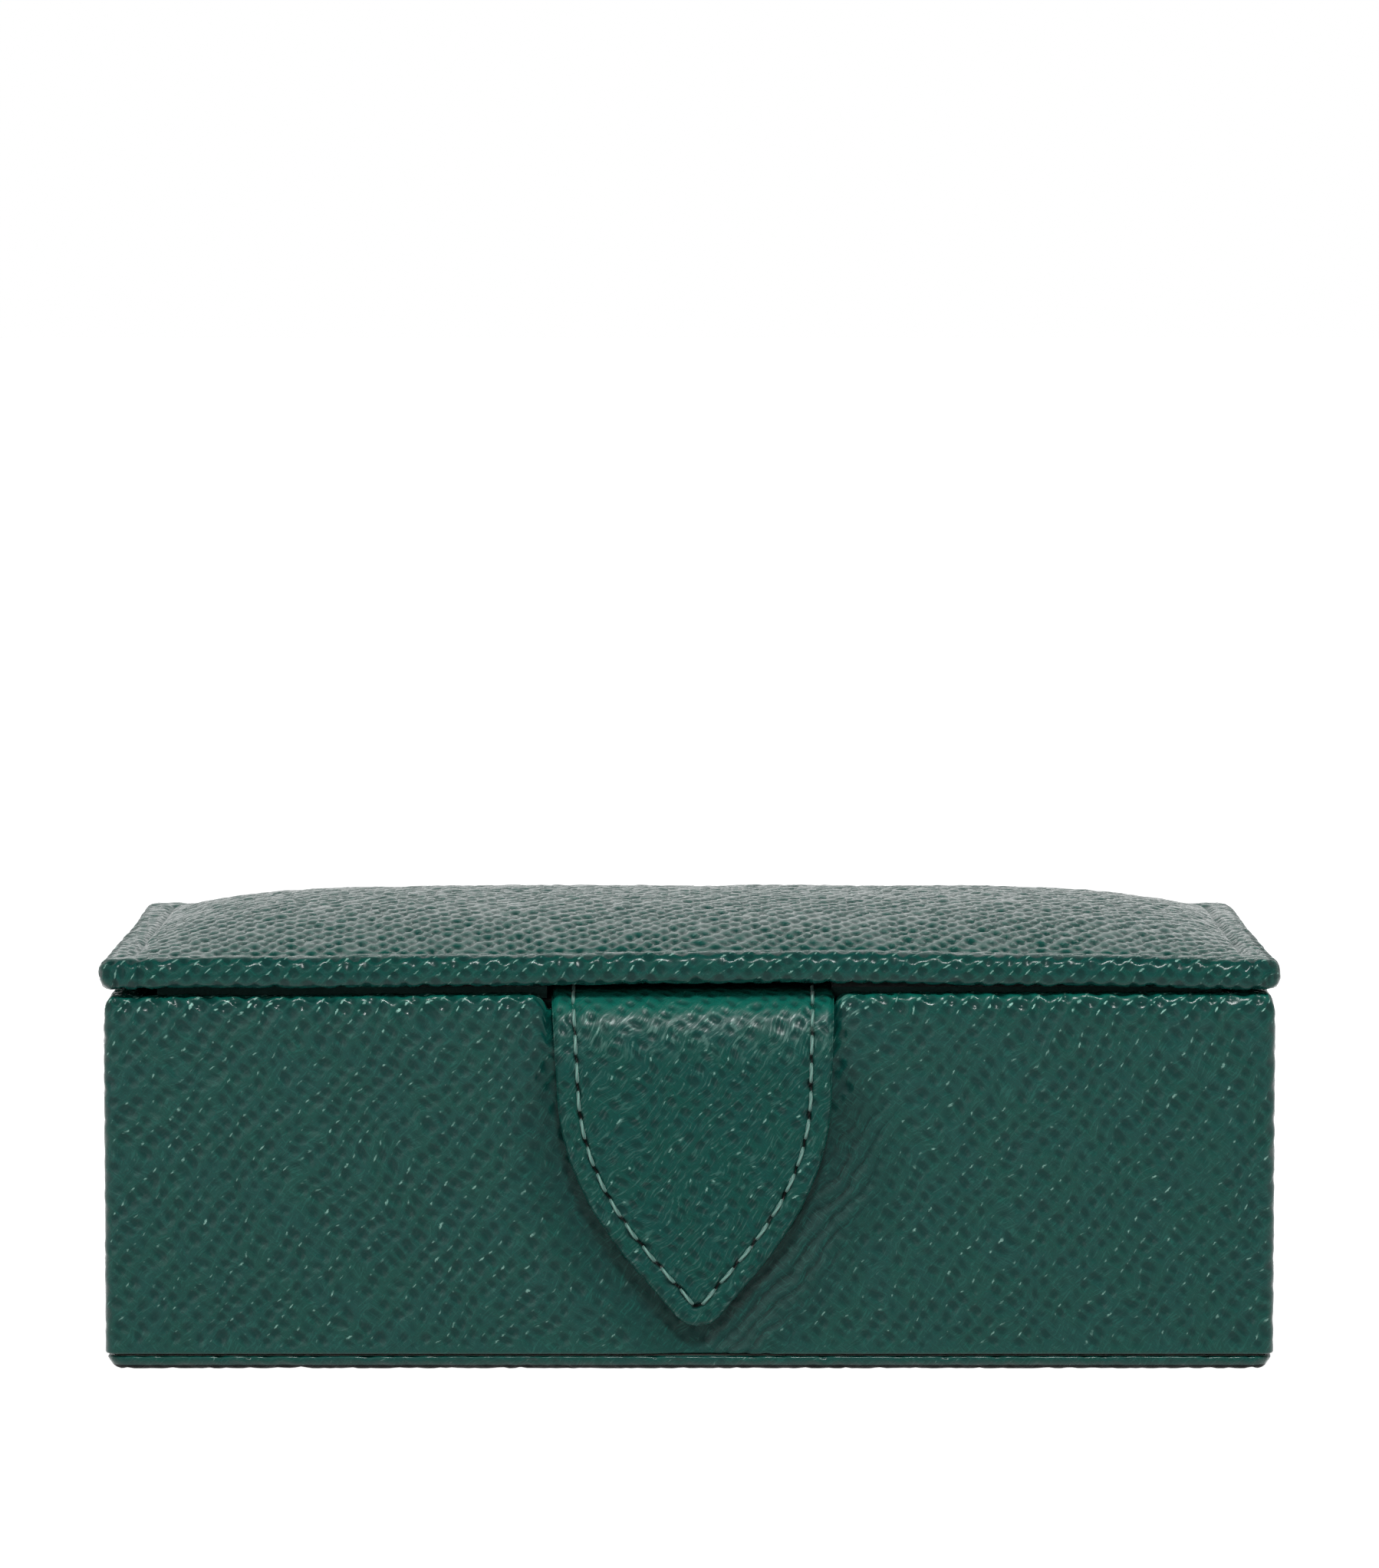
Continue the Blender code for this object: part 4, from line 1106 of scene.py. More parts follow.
def wall_profile(low, high):
    """(inset, height) up the outer wall, over the rim and down inside, from below to inside."""
    rows = [(RIM_WIDTH, low), (FOOT_RADIUS, low)]
    rows += arc_rows((FOOT_RADIUS, low + FOOT_RADIUS), FOOT_RADIUS, -QUARTER_TURN, -math.pi,
                     FOOT_STEPS)
    rows += straight_rows(rows[-1], (0.0, high - RIM_ROLL), ROW_MESH)
    rolled = arc_rows((RIM_RADIUS, 0.0), RIM_RADIUS, math.pi, QUARTER_TURN, RIM_STEPS)
    rows += [(inset, high - RIM_ROLL + rise * RIM_ROLL / RIM_RADIUS) for inset, rise in rolled]
    rows += straight_rows(rows[-1], (RIM_WIDTH - INNER_RIM_RADIUS, high), ROW_MESH)
    rows += arc_rows((RIM_WIDTH - INNER_RIM_RADIUS, high - INNER_RIM_RADIUS), INNER_RIM_RADIUS,
                     QUARTER_TURN, 0.0, INNER_RIM_STEPS)
    rows += straight_rows(rows[-1], (RIM_WIDTH, high - TURN_DOWN), 3 * ROW_MESH)
    return np.array(rows)


def wall_columns(half):
    """Distances round the box at which the wall has a column, from the middle of its back."""
    wide, deep = half - BASE_CORNER_RADIUS
    arc = QUARTER_TURN * BASE_CORNER_RADIUS
    legs = ((wide, SIDE_MESH), (arc, None), (2 * deep, SIDE_MESH), (arc, None),
            (2 * wide, FRONT_MESH), (arc, None), (2 * deep, SIDE_MESH), (arc, None),
            (wide, SIDE_MESH))
    places, ends = [], [0.0]
    for length, pitch in legs:
        count = round(length / pitch) if pitch else CORNER_STEPS
        places.append(np.linspace(ends[-1], ends[-1] + length, count, endpoint=False))
        ends.append(ends[-1] + length)
    return np.concatenate(places), np.array(ends)


def round_the_box(distance, ends, half, inset):
    """Plan places and outward ways at distances round the wall's loop, set in by inset."""
    part = np.clip(np.searchsorted(ends, distance, side="right") - 1, 0, len(ends) - 2)
    share = (distance - ends[part]) / (ends[part + 1] - ends[part])
    radius = np.maximum(BASE_CORNER_RADIUS - inset, LEAST_CORNER_RADIUS)
    wide, deep = half[0] - inset - radius, half[1] - inset - radius
    turns = np.array([0, 0, 1, 1, 2, 2, 3, 3, 4])[part]
    on_corner = part % 2 == 1
    angle = QUARTER_TURN * (1 + turns + np.where(on_corner, share, 0.0))
    way = np.column_stack([np.cos(angle), np.sin(angle)])
    centre_x = np.select([part == 0, part <= 3, part == 4, part <= 7],
                         [-share * wide, -wide, (2 * share - 1) * wide, wide], (1 - share) * wide)
    centre_y = np.select([part <= 1, part == 2, part <= 5, part == 6],
                         [deep, (1 - 2 * share) * deep, -deep, (2 * share - 1) * deep], deep)
    return np.column_stack([centre_x, centre_y]) + way * radius[:, None], way


def notch_drop(x):
    """How far the rim dips at x: a flat notch between two round shoulders."""
    inward = np.clip(NOTCH_HALF_WIDTH + SHOULDER_RADIUS - np.abs(x), 0, SHOULDER_RADIUS)
    shoulder = SHOULDER_RADIUS - np.sqrt(SHOULDER_RADIUS ** 2 - inward ** 2)
    floor = np.abs(x) < NOTCH_HALF_WIDTH
    return np.where(floor, NOTCH_DEPTH, shoulder)


def wall_mesh(name, row_count, column_count):
    """A loop of columns grown row by row and closed on itself, with each vertex's row and column."""
    bm = bmesh.new()
    ring = bm.verts.layers.int.new("ring")
    bmesh.ops.create_circle(bm, segments=column_count, radius=1.0)
    bm.verts.ensure_lookup_table()
    for i, vert in enumerate(bm.verts):
        vert.co = (i, 0, 0)
    first = bm.edges[:]
    last = grow_rings(bm, first, row_count - 1, ring)
    bmesh.ops.bridge_loops(bm, edges=first + last)
    piece = mesh_piece(bm, name)
    return piece, numbers(piece.data, "ring"), np.round(read(piece.data)[:, 0]).astype(int)


def dish_top(below):
    """1 in the dish's upper part, which is shallower and has less painted shade, by depth below the
    rim.
    """
    return 1 - smooth_step(below, DISH_TOP_REACH / 2, DISH_TOP_REACH)


def dish_shape(off_tab, below):
    """The dish's share of its full depth, and how far it spreads beyond the tab's outline."""
    spread = between(DISH_TOP_SHARE, 1, smooth_step(below, *DISH_WIDENS_BELOW))
    dish = 1 - smooth_step((off_tab - DISH_FLAT) / spread, 0, DISH_SLOPE)
    return dish * (1 - DISH_TOP_LOSS * dish_top(below)), spread


def shade_round_tab(x, off_tab, below, drop, spread):
    """How strong the painted shade round the tab is, which also thins the coat, wider on the right."""
    wider = 1 + TAB_SHADE_MORE_RIGHT * smooth_step(x, 0, TAB_SHADE_RIGHT_REACH)
    shaded_round_tab = 1 - smooth_step(off_tab / (spread * wider), 0, TAB_SHADE_REACH)
    return shaded_round_tab * smooth_step(below - drop, 0, RIM_ROLL) * (1 - TAB_SHADE_TOP_LOSS * dish_top(below))


def pull(x, off_tab, below):
    """Where the leather on the tab's right is pulled into creases."""
    pulled = hump(off_tab, FURROW_PLACE, FURROW_SPREAD) * smooth_step(x, 0, FURROW_RIGHT_REACH)
    return pulled * smooth_step(below, *FURROWS_START_BELOW)


def wall_relief(plan, half, front, rise, roll):
    """How deep the walls' grain is, by rise above the foot and share of the rim's roll."""
    relief = smooth_step(rise, 0, FOOT_CALM) * (1 + RIM_RELIEF * roll)
    rightward = smooth_step(plan[:, 0], -half[0] / 2, half[0] / 2)
    relief *= 1 + front * (LEFT_RELIEF - 1 - RIGHT_RELIEF_LOSS * rightward)
    at_corner = smooth_step(np.abs(plan[:, 0]), half[0] - BASE_CORNER_RADIUS, half[0])
    at_corner *= 1 - smooth_step(plan[:, 1] + half[1], *CORNER_CALM_REACH)
    return relief * (1 - CORNER_CALM * at_corner)


def base_wrap():
    """Leather round the four walls, over the rim and down inside, dished for the tab."""
    low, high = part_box("base_leather_wrap")
    half, centre = plan_of(low, high)
    rows = wall_profile(low.z, high.z)
    columns, ends = wall_columns(half)
    piece, ring, column = wall_mesh("base_wrap", len(rows), len(columns))
    mesh = piece.data
    inset, height = rows[ring].T
    plan, way = round_the_box(columns[column], ends, half, inset)
    x = plan[:, 0]
    front = way[:, 1] < FRONT_FACING
    outside = ring <= np.argmax(rows[:, 1])
    drop = notch_drop(x) * front
    height = height - drop * smooth_step(height, high.z - NOTCH_FADE, high.z - RIM_RADIUS)
    sag = RIM_SAG * (1 - smooth_step(x, RIM_SAG_START_SHARE * half[0], 0.0))
    height = height - sag * smooth_step(height, high.z - 2 * NOTCH_FADE, high.z - RIM_RADIUS)
    below = high.z - height
    off_tab = tab_distance(x, height - tab_tip_z())
    dish, spread = dish_shape(off_tab, below)
    under_bend = 1 - smooth_step(below, RIM_ROLL, DISH_BEND)
    under_bend *= 1 - smooth_step(off_tab, 0, DISH_BEND_REACH)
    inner_edge = RIM_WIDTH - INNER_RIM_RADIUS
    inward = DISH_DEPTH * dish + DISH_TOP_DEPTH * under_bend
    inward *= front * np.clip((inner_edge - inset) / (inner_edge - RIM_RADIUS), 0, 1)
    plan = plan - way * inward[:, None]
    settle(piece, np.column_stack([plan + (0, centre[1]), height]))
    run = lengths(rows)[ring]
    roll = 1 - smooth_step(below, RIM_RADIUS, RIM_ROLL)
    pulled = pull(x, off_tab, below) * front
    relief = wall_relief(plan, half, front, height - low.z, roll) * (ring > 0) * (ring < len(rows) - 1)
    relief *= (1 - DISH_CALM * dish * front) * (1 - FURROW_CALM * pulled)
    cells = grain_cells(columns[column], run, seed=2.0)
    # Furrows: creases pressed in, and also painted darker as shade
    furrows = pulled * bulge(cells[:, 0] * FURROWS_PER_CELL) ** FURROW_SHARPNESS
    press(piece, FURROW_DEPTH * furrows)
    # Painted shade round the tab
    shaded_round_tab = shade_round_tab(x, off_tab, below, drop, spread) * front * outside
    # Painted sheen: a patch of pale streaks on the notch's right shoulder
    shine = hump(x, SHOULDER_SHEEN_PLACE[0], SHOULDER_SHEEN_REACH[0])
    shine *= hump(below, SHOULDER_SHEEN_PLACE[1], SHOULDER_SHEEN_REACH[1]) * front * outside
    # Painted shade round the tab, darker still in the furrows; it also thins the coat and hides glints
    store(mesh, "pressed_and_shaded", TAB_SHADE * shaded_round_tab + FURROW_SHADE * furrows)
    # A duller coat over the rim's roll, with more painted glints
    store(mesh, "dull", RIM_DULL_AND_GLINTS * roll)
    store(mesh, "painted_sheen", SHOULDER_SHEEN * shine)
    # Painted light: a brighter green over the top of the rim
    store(mesh, "painted_light", 1 - smooth_step(below - drop, 0, RIM_LIT_GREEN_REACH))
    seam = (column == 0, ends[-1], column, len(columns) - 1)
    emboss(piece, columns[column], run, relief, seed=2.0, pit_power=BASE_PIT_POWER, seam=seam)
    mesh.materials.append(leather("base_leather", BASE_PIT_POWER, BASE_PIT_GAIN, rows=1.0,
                                  painted_shine=True))
    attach(piece, "base")
    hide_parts("base_leather_wrap")


def bottom_plate():
    """The plate's leather: rounded below, with a flat underside."""
    low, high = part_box("bottom_plate_leather")
    half, centre = plan_of(low, high)
    profile = edge_profile(high.z - low.z, PLATE_RADIUS, PLATE_TOP_RADIUS, PLATE_TURN_IN,
                           ((PLATE_TURN_IN, PLATE_FLOOR),), PLATE_CHAMFER)
    piece = panel("bottom_plate", half - PLATE_RADIUS, PLATE_MESH, PLATE_BORDER,
                  PLATE_BORDER_MESH, len(profile))
    ring, _, grain = wrap_panel(piece, centre, half, PLATE_CORNER_RADIUS, PLATE_RADIUS, profile)
    mesh = piece.data
    settle(piece, read(mesh) * (1, 1, -1) + (0, 0, low.z))
    relief = np.where(ring < len(profile) - 1, PLATE_RELIEF, 0.0)
    emboss(piece, grain[:, 0], -grain[:, 1], relief, seed=3.0)
    # A duller coat, with more painted glints
    store(mesh, "dull", np.full(len(ring), PLATE_DULL_AND_GLINTS))
    # Painted contact shadow: near black along the plate's foot
    mesh.materials.append(leather("plate_leather", glint=PLATE_GLINT, contact_shade=PLATE_CONTACT_SHADE))
    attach(piece, "base")
    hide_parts("bottom_plate_leather")


# Tab


def tab_tip_z():
    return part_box("tab_leather")[0].z


def tab_outline(inset=0.0, top=OUTLINE_TOP):
    """The tab's right side drawn flat from the tip up to top, as dense (across, up) points."""
    angles = np.linspace(0, TIP_ANGLE, TIP_POINTS)
    tip = np.column_stack([np.sin(angles), 1 - np.cos(angles)]) * TIP_RADIUS
    end = tip[-1]
    start = np.array([CURVE_HALF_WIDTH, CURVE_HEIGHT])
    way = np.array([math.cos(TIP_ANGLE), math.sin(TIP_ANGLE)])
    handles = (end, end + way * TIP_HANDLE, start - np.array([0, CURVE_HANDLE]), start)
    t = np.linspace(0, 1, CURVE_POINTS)[1:, None]
    weights = ((1 - t) ** 3, 3 * t * (1 - t) ** 2, 3 * t * t * (1 - t), t ** 3)
    curve = sum(w * h for w, h in zip(weights, handles))
    up = np.linspace(CURVE_HEIGHT, top, SIDE_POINTS)[1:]
    widened = np.minimum((up - CURVE_HEIGHT) / WIDENS_OVER, 1)
    across = between(CURVE_HALF_WIDTH, TOP_HALF_WIDTH, widened)
    line = np.vstack([tip, curve, np.column_stack([across, up])])
    if inset:
        ways = np.gradient(line, axis=0)
        ways /= np.linalg.norm(ways, axis=1)[:, None]
        line = line + np.column_stack([-ways[:, 1], ways[:, 0]]) * inset
        line = line[line[:, 0] > 0]
        line = np.vstack([[0.0, line[0, 1]], line])
    return line


def lengths(line):
    """How far along a line of points each of them lies."""
    return np.concatenate([[0], np.cumsum(np.linalg.norm(np.diff(line, axis=0), axis=1))])


def lean(up):
    """The tab hangs a little to the right, more at its tip."""
    return between(TAB_LEAN_TIP, TAB_LEAN_TOP, np.clip(up / TAB_LEAN_OVER, 0, 1))


def line_distance(x, up, line):
    """Distance of each place from a line of points, by its nearest segment."""
    best = np.full(len(x), np.inf)
    for (ax, ay), (bx, by) in zip(line[:-1], line[1:]):
        dx, dy = bx - ax, by - ay
        share = ((x - ax) * dx + (up - ay) * dy) / (dx * dx + dy * dy + TINY ** 2)
        share = np.clip(share, 0, 1)
        best = np.minimum(best, np.hypot(x - ax - share * dx, up - ay - share * dy))
    return best


def tab_distance(x, up):
    """Signed distance outside the hanging tab's outline, on the front wall's face."""
    line = tab_outline()[::4]
    across = np.abs(x - lean(up))
    width = np.interp(up, line[:, 1], line[:, 0])
    inside = (across < width) & (up > 0)
    return np.where(inside, -1, 1) * line_distance(across, up, line)


def running(values):
    """The running sum of the middles between neighbouring values."""
    return np.concatenate([[0], np.cumsum((values[1:] + values[:-1]) / 2)])


def bend_path():
    """The tab's face from tip to tail: distance along it, y, z and how far it leans back."""
    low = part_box("tab_leather")[0]
    under_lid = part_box("tab_tail")[1].z
    share = np.linspace(0, 1, BEND_STEPS)
    tilt = QUARTER_TURN * share ** BEND_POWER
    back, up = running(np.sin(tilt)), running(np.cos(tilt))
    step = (under_lid - low.z - BEND_START) / up[-1]
    length = step * (BEND_STEPS - 1)
    along = np.concatenate([[0], BEND_START + share * length, [BEND_START + length + TAIL_PATH]])
    y = low.y + np.concatenate([[0], back * step, [back[-1] * step + TAIL_PATH]])
    z = low.z + np.concatenate([[0], BEND_START + up * step, [BEND_START + up[-1] * step]])
    return along, y, z, np.concatenate([[0], tilt, [tilt[-1]]])


def on_tab(across, up, depth):
    """Places on the bent tab: across it, up along its face and depth behind its face."""
    along, y, z, tilt = bend_path()
    lean_back = np.interp(up, along, tilt)
    return np.column_stack([across + lean(up), np.interp(up, along, y) + depth * np.cos(lean_back),
                            np.interp(up, along, z) - depth * np.sin(lean_back)])


def tab_slab(name, inset, top, fine_top):
    """A closed slab of the tab's outline, drawn flat: x across, y up from the tip, z 0 to 1.

    Its faces lie in nested U shapes that follow the edge, so the stitch line runs along them."""
    line = tab_outline(inset, top)
    reach = lengths(line)
    knee = np.interp(fine_top, line[:, 1], reach)
    lower = np.linspace(0, knee, round(knee / TAB_MESH), endpoint=False)
    upper = np.linspace(knee, reach[-1], max(2, round((reach[-1] - knee) / TAIL_MESH)))
    side = np.concatenate([lower, upper])
    side = np.concatenate([-side[:0:-1], side])
    shares = np.concatenate([np.linspace(0, FINE_FROM_SHARE, INNER_U_COUNT, endpoint=False),
                             np.linspace(FINE_FROM_SHARE, 1, FINE_U_COUNT + 1)])
    across = np.interp(np.abs(side), reach, line[:, 0]) * np.sign(side)
    up = np.interp(np.abs(side), reach, line[:, 1])
    spine = (up + TAB_POLE + np.sqrt((up - TAB_POLE) ** 2 + POLE_SOFTNESS ** 2)) / 2
    spine = np.minimum(spine, top)
    bm = bmesh.new()
    columns, rows = len(side) - 1, len(shares) - 1
    bmesh.ops.create_grid(bm, x_segments=columns, y_segments=rows, size=1.0)
    for vert in bm.verts:
        i = round((vert.co.x + 1) / 2 * columns)
        share = shares[round((vert.co.y + 1) / 2 * rows)]
        vert.co = (across[i] * share, between(spine[i], up[i], share), 0)
    bmesh.ops.remove_doubles(bm, verts=bm.verts, dist=MERGE)
    thicken(bm, cuts=2)
    return mesh_piece(bm, name)


def slab_edge(across, up, inset, top):
    """Distance in from the edge of a tab's slab, its top edge with it."""
    edge = line_distance(np.abs(across), up, tab_outline(inset)[::3])
    return np.maximum(np.minimum(edge, top - up), 0)


def slab_depth(layer, edge, thickness, radius):
    """Depth behind the face of a slab with rounded edges, from its layer and edge distance."""
    from_edge = np.clip(1 - edge / radius, 0, 1)
    rounding = radius * (1 - np.sqrt(1 - from_edge ** 2))
    return rounding * (1 - layer) + (thickness - rounding) * layer


def stitch_line():
    """The right side's stitch line from the tip up, and its running length."""
    line = tab_outline(STITCH_INSET, STITCH_TOP)
    return line, lengths(line)


def stitch_places(distance):
    """(across, up) at distances along the stitch line; below zero is the left side."""
    line, run = stitch_line()
    across = np.interp(np.abs(distance), run, line[:, 0]) * np.sign(distance)
    return across, np.interp(np.abs(distance), run, line[:, 1])


def stitch_count():
    return int(stitch_line()[1][-1] / STITCH_PITCH)


def needle_holes(across, up):
    """1 in the middle of each slanting slit that the needle left, and 0 away from them."""
    hole = np.zeros(len(up))
    for i in range(-stitch_count(), stitch_count() + 1):
        x, y = stitch_places(np.array([0, LITTLE_AHEAD]) + i * STITCH_PITCH)
        angle = math.atan2(y[1] - y[0], x[1] - x[0]) + SLIT_TILT
        slit = (across - x[0]) * math.cos(angle) + (up - y[0]) * math.sin(angle)
        aside = (up - y[0]) * math.cos(angle) - (across - x[0]) * math.sin(angle)
        hole = np.maximum(hole, np.exp(-(slit / SLIT_LENGTH) ** 4 - (aside / HOLE_RADIUS) ** 2))
    return hole


def tab():
    """The tab's leather: turned over its edge, sewn round, bent under the lid and glued there."""
    bend_end = bend_path()[0][-2]
    piece = tab_slab("tab_cover", 0.0, bend_end + TAIL_LENGTH, bend_end)
    mesh = piece.data
    across, up, layer = read(mesh).T
    edge = line_distance(np.abs(across), up, tab_outline()[::3])
    thinner = smooth_step(up, BEND_START, BEND_START + STRAP_THINS_OVER)
    thickness = between(TAB_THICKNESS, STRAP_THICKNESS, thinner)
    face = layer < 0.5
    hole = needle_holes(across, up) * face
    seam = hump(edge, STITCH_INSET, STITCH_GROOVE_WIDTH)
    depth = slab_depth(layer, edge, thickness, TAB_EDGE_RADIUS)
    depth += STITCH_GROOVE * seam * face + HOLE_DEPTH * hole
    settle(piece, on_tab(across, up, depth))
    calm = SEAM_CALM * seam + EDGE_CALM * (1 - smooth_step(edge, *EDGE_CALM_REACH))
    on_side = (layer > 0.1) & (layer < 0.9)
    relief = (TAB_RELIEF - TAB_CALM * np.clip(calm, 0, 1)) * np.where(on_side, TAB_SIDE_RELIEF, 1)
    emboss(piece, across, up, relief, seed=4.0, pit_power=TAB_PIT_POWER, depth=TAB_GRAIN_DEPTH)
    # Painted shade in the needle holes
    store(mesh, "hole", hole * HOLE_DARKNESS)
    # Painted sheen: pale streaks at the bend
    store(mesh, "painted_sheen", hump(up, SHEEN_PLACE, SHEEN_REACH))
    # Painted light: a brighter green from the bend up
    store(mesh, "painted_light", smooth_step(up, LIT_GREEN_START, LIT_GREEN_FULL))
    mesh.materials.append(leather("tab_leather", TAB_PIT_POWER, TAB_PIT_GAIN, TAB_HAIR_HEIGHT,
                                  TAB_COAT_ROUGHNESS, sewn=True, painted_shine=True))
    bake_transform(piece)
    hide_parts("tab_leather", "tab_tail")


def tab_card():
    """The card between the tab's two leathers, bent with them at its top."""
    low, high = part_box("tab_stiffener")
    inset = TOP_HALF_WIDTH - (high.x - low.x) / 2
    top = min(high.z - tab_tip_z(), CARD_TOP)
    piece = tab_slab("tab_card", inset, top, top)
    across, up, layer = read(piece.data).T
    thickness = high.y - low.y
    edge = slab_edge(across, up, inset, top)
    depth = CARD_DEPTH + slab_depth(layer, edge, thickness, CARD_EDGE_SHARE * thickness)
    settle(piece, on_tab(across, up, depth))
    piece.data.materials.append(board_finish("tab_card_board"))
    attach(piece, "tab")
    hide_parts("tab_stiffener")


def tab_back():
    """The thin leather behind the tab."""
    piece = tab_slab("tab_back", TAB_LINING_INSET, TAB_LINING_TOP, TAB_LINING_TOP)
    across, up, layer = read(piece.data).T
    edge = slab_edge(across, up, TAB_LINING_INSET, TAB_LINING_TOP)
    depth = slab_depth(layer, edge, TAB_LINING, TAB_LINING_RADIUS)
    settle(piece, on_tab(across, up, TAB_THICKNESS + LINING_GAP + depth))
    relief = np.full(len(up), TAB_LINING_RELIEF)
    emboss(piece, across, up, relief, seed=5.0, pit_power=TAB_LINING_PIT_POWER)
    piece.data.materials.append(leather("tab_back_leather", TAB_LINING_PIT_POWER))
    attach(piece, "tab")
    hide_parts("tab_lining")


def stitches():
    """One twisted thread per stitch, diving into the needle holes at both ends."""
    apart = 10.0
    count = stitch_count()
    bm = bmesh.new()
    for i in range(2 * count):
        bmesh.ops.create_cone(bm, cap_ends=True, segments=THREAD_SIDES, radius1=1.0, radius2=1.0,
                              depth=1.0, matrix=Matrix.Translation((i * apart, 0, 0)))
    bmesh.ops.subdivide_edges(bm, edges=upright(bm), cuts=THREAD_CUTS)
    piece = mesh_piece(bm, "tab_stitches")
    mesh = piece.data
    flat = read(mesh)
    number = np.round(flat[:, 0] / apart)
    angle = np.arctan2(flat[:, 1], flat[:, 0] - number * apart)
    share = flat[:, 2] + 0.5
    middle = (number - count + 0.5) * STITCH_PITCH
    distance = middle + (share - 0.5) * STITCH_PITCH * STITCH_SHARE
    across, up = stitch_places(distance)
    ahead_across, ahead_up = stitch_places(distance + LITTLE_AHEAD)
    way = np.column_stack([ahead_across - across, ahead_up - up])
    way /= np.linalg.norm(way, axis=1)[:, None]
    arch = np.clip(np.sin(math.pi * share), 0, 1) ** THREAD_ARCH_POWER
    twist = (1 + np.cos(2 * angle + share * THREAD_TWIST)) / 2
    radius = THREAD_RADIUS * (1 - PLY_SHARE + PLY_SHARE * twist)
    radius *= between(THREAD_END_SHARE, 1, arch)
    depth = THREAD_DIVE - (THREAD_DIVE + THREAD_LIFT) * arch + np.sin(angle) * radius
    across = across - way[:, 1] * np.cos(angle) * radius
    up = up + way[:, 0] * np.cos(angle) * radius
    settle(piece, on_tab(across, up, depth))
    store(mesh, "twist", twist)
    mesh.materials.append(thread_finish("stitch_thread"))
    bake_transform(piece)
    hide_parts("tab_stitching")


# Hinge


def hinge_strip():
    """One strip of leather down the back, glued to the base and to the lid's edge."""
    low, base_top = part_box("hinge_base_leaf")
    lid_bottom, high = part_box("hinge_lid_leaf")
    columns, rows = round((high.x - low.x) / HINGE_MESH), round((high.z - low.z) / HINGE_MESH)
    piece, across, up, layer = sheet("hinge_strip", columns, rows)
    x = between(low.x, high.x, across)
    z = between(low.z, high.z, up)
    edge = np.minimum(from_ends(x, low.x, high.x), from_ends(z, low.z, high.z))
    thin = HINGE_THINNING * (1 - smooth_step(edge, 0, HINGE_THIN_EDGE))
    glued = layer > 0.5
    settle(piece, np.column_stack([x, low.y + ~glued * (high.y - low.y) * (1 - thin), z]))
    emboss(piece, -x, z, ~glued * HINGE_RELIEF, seed=6.0)
    piece.data.materials.append(leather("hinge_leather"))
    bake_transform(piece)
    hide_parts("hinge_base_leaf", "hinge_lid_leaf")


# Suede inside


def cushion(name, node, body, crown_up, finish, cells_x=1, cells_y=1):
    """A suede pad with a crown in each cell and soft, drawn-in edges."""
    low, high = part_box(node)
    columns, rows = round((high.x - low.x) / PAD_MESH), round((high.y - low.y) / PAD_MESH)
    piece, across, along, layer = sheet(name, columns, rows, cuts=2)
    x = between(low.x, high.x, across)
    y = between(low.y, high.y, along)
    edge = np.minimum(from_ends(x, low.x, high.x), from_ends(y, low.y, high.y))
    thickness = high.z - low.z
    round_off = thickness * PAD_ROUNDING_SHARE
    drop = round_off * (1 - np.sqrt(1 - np.clip(1 - edge / round_off, 0, 1) ** 2))
    swell = np.abs(np.sin(math.pi * across * cells_x) * np.sin(math.pi * along * cells_y))
    uneven = wander(x, y, PAD_UNEVEN_OVER, seed=9.0)[:, 0] * PAD_UNEVEN
    soft = thickness - PAD_CROWN_ROOM - drop + PAD_CROWN * swell ** PAD_CROWN_POWER + uneven
    soft *= 1 - layer
    settle(piece, np.column_stack([x, y, low.z + soft if crown_up else high.z - soft]))
    piece.data.materials.append(finish)
    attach(piece, body)
    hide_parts(node)


def dress_nodes(nodes, finish):
    for name in nodes:
        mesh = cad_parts[name].data
        mesh.materials.clear()
        mesh.materials.append(finish)


# Studio


def area_light(name, place, size, power):
    light = bpy.data.lights.new(name, "AREA")
    light.shape = "RECTANGLE"
    light.size, light.size_y = size
    light.energy = power
    lamp = bpy.data.objects.new(name, light)
    bpy.context.scene.collection.objects.link(lamp)
    lamp.location = place
    lamp.rotation_euler = (Vector(LAMPS_AIM) - Vector(place)).to_track_quat("-Z", "Y").to_euler()


def in_view(finish):
    """1 where the camera sees the finish, also through glass or in a mirror, and 0 for lighting."""
    path = finish.node("ShaderNodeLightPath")
    rays = {socket.name: Wire(finish, socket) for socket in path.socket.node.outputs}
    return (rays["Is Camera Ray"] + rays["Is Glossy Ray"] + rays["Is Transmission Ray"]).clipped()


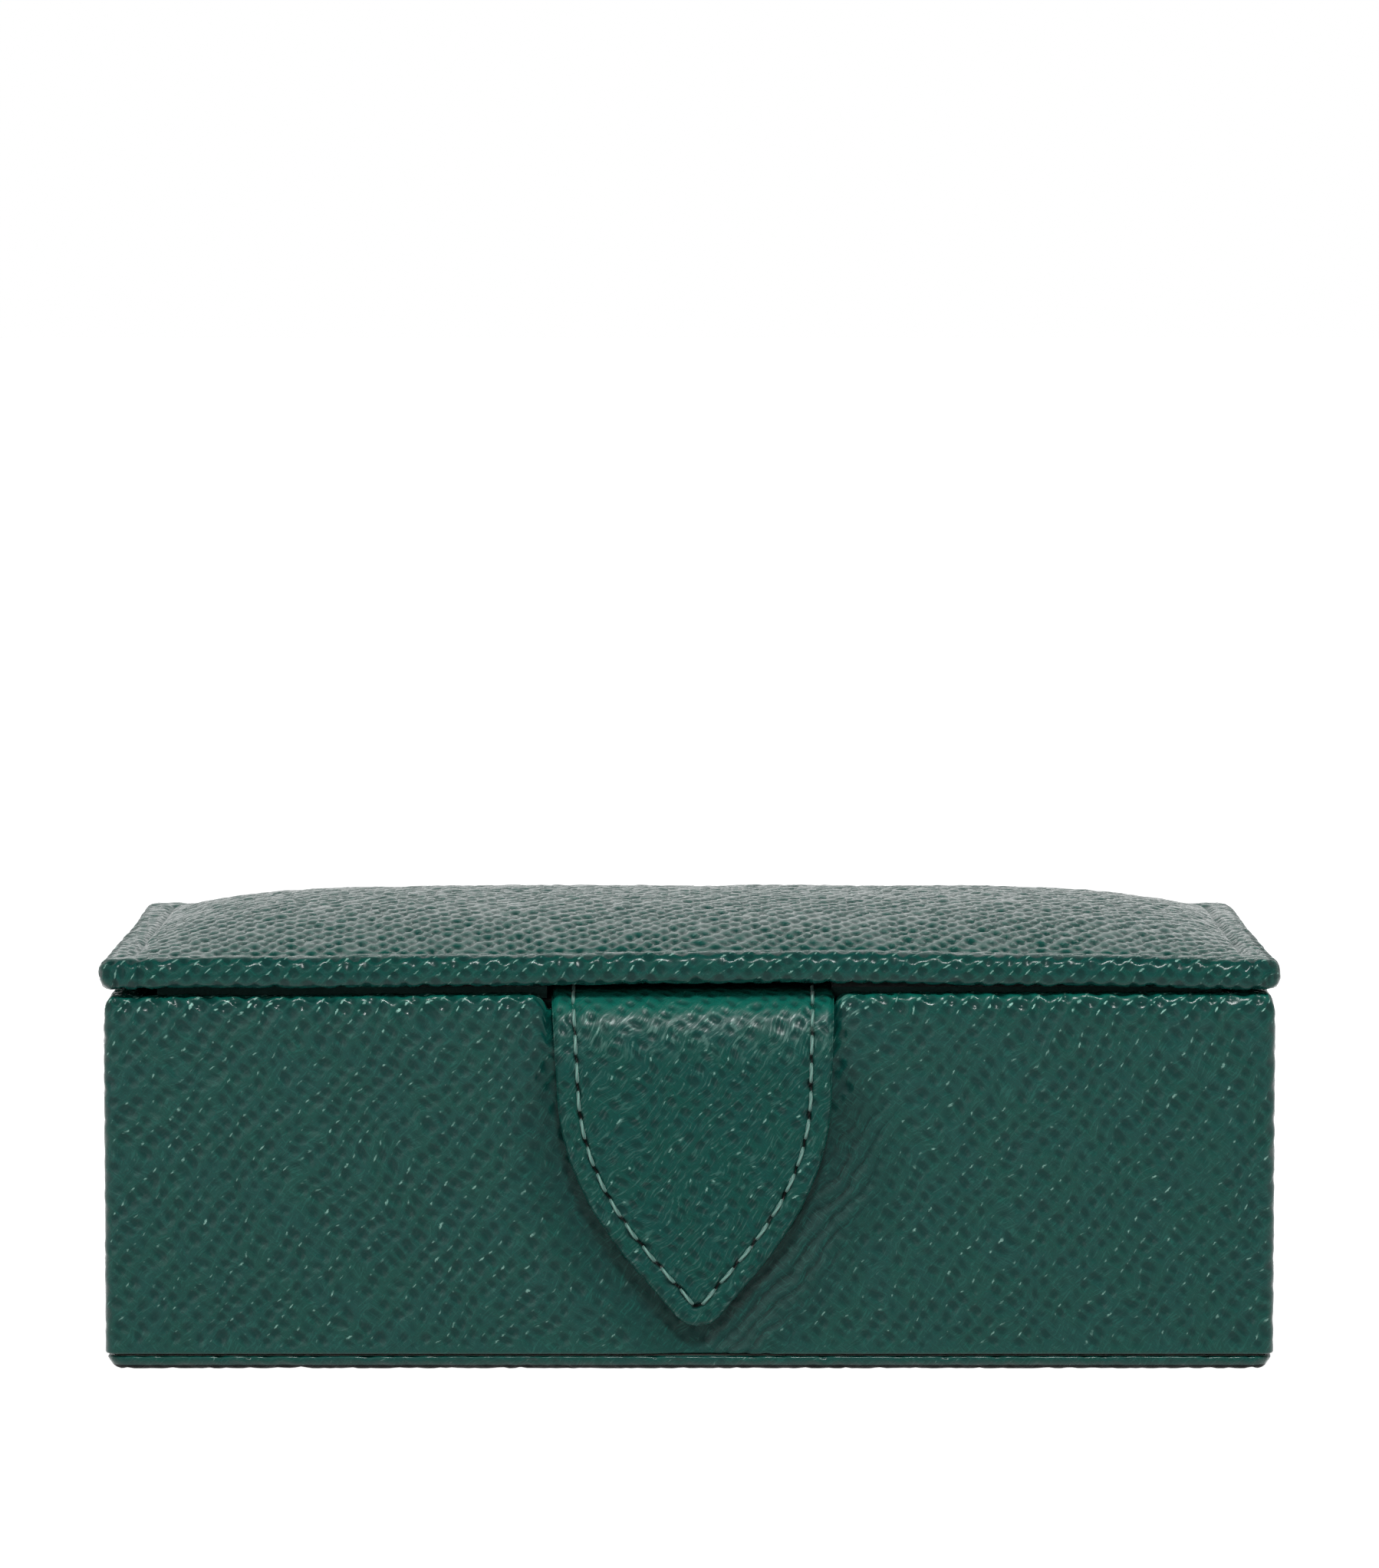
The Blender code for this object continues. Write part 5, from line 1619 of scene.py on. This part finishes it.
def studio():
    scene = bpy.context.scene
    scene.view_settings.view_transform = "Standard"
    world = Finish("studio air", bpy.data.worlds.new("studio air"))
    scene.world = world.material
    height = world.split(world.node("ShaderNodeTexCoord"))[2]
    air = world.blend(world.step(height, CEILING_START, CEILING_FULL), colour_of(WHITE),
                      colour_of(CEILING))
    strength = AIR_STRENGTH + in_view(world) * (1 - AIR_STRENGTH)
    world.put_out(world.node("ShaderNodeBackground", None, {"Color": air, "Strength": strength}),
                  "ShaderNodeOutputWorld")
    floor()
    area_light("key", *KEY_LAMP)
    area_light("fill", *FILL_LAMP)
    camera_data = bpy.data.cameras.new("camera")
    camera_data.sensor_width = SENSOR
    camera_data.lens = FOCAL_PIXELS * SENSOR / IMAGE_HEIGHT_PIXELS
    camera_data.clip_start, camera_data.clip_end = CAMERA_CLIP
    camera = bpy.data.objects.new("camera", camera_data)
    scene.collection.objects.link(camera)
    camera.location = CAMERA_PLACE
    camera.rotation_euler = (QUARTER_TURN - CAMERA_PITCH, 0, 0)
    scene.camera = camera


def floor():
    """A pale floor that stays white to the eye and still takes the box's shadow."""
    bm = bmesh.new()
    bmesh.ops.create_circle(bm, cap_ends=True, segments=96, radius=FLOOR_RADIUS)
    plane = mesh_piece(bm, "floor")
    f = Finish("white floor")
    paint = f.node("ShaderNodeBsdfDiffuse", None, {"Color": colour_of(FLOOR_PAINT)})
    glow = {"Color": colour_of(WHITE), "Strength": FLOOR_GLOW}
    white = f.node("ShaderNodeEmission", None, glow)
    share = in_view(f) * FLOOR_GLOW_SHARE
    f.put_out(f.node("ShaderNodeMixShader", None, {0: share, 1: paint, 2: white}))
    plane.data.materials.append(f.material)


lid_cover()
lid_stiffener()
base_wrap()
bottom_plate()
tab()
tab_card()
tab_back()
stitches()
hinge_strip()
inner_suede = suede("lining_suede")
cushion("floor_cushion", "floor_pad", "base", True, inner_suede, 4, 2)
cushion("lid_cushion", "lid_suede_pad", "lid", False, suede("lid_suede"))
dress_nodes(("lining_front", "lining_back", "lining_left", "lining_right", "divider_long",
             "divider_short_1", "divider_short_2", "divider_short_3", "lid_liner_card"),
            inner_suede)
dress_nodes(("base_front_board", "base_back_board", "base_left_board", "base_right_board",
             "base_bottom_board", "bottom_plate_board"),
            board_finish("binders_board"))
dress_nodes(("front_magnet", "tab_magnet"), steel_finish("magnet_steel"))
studio()
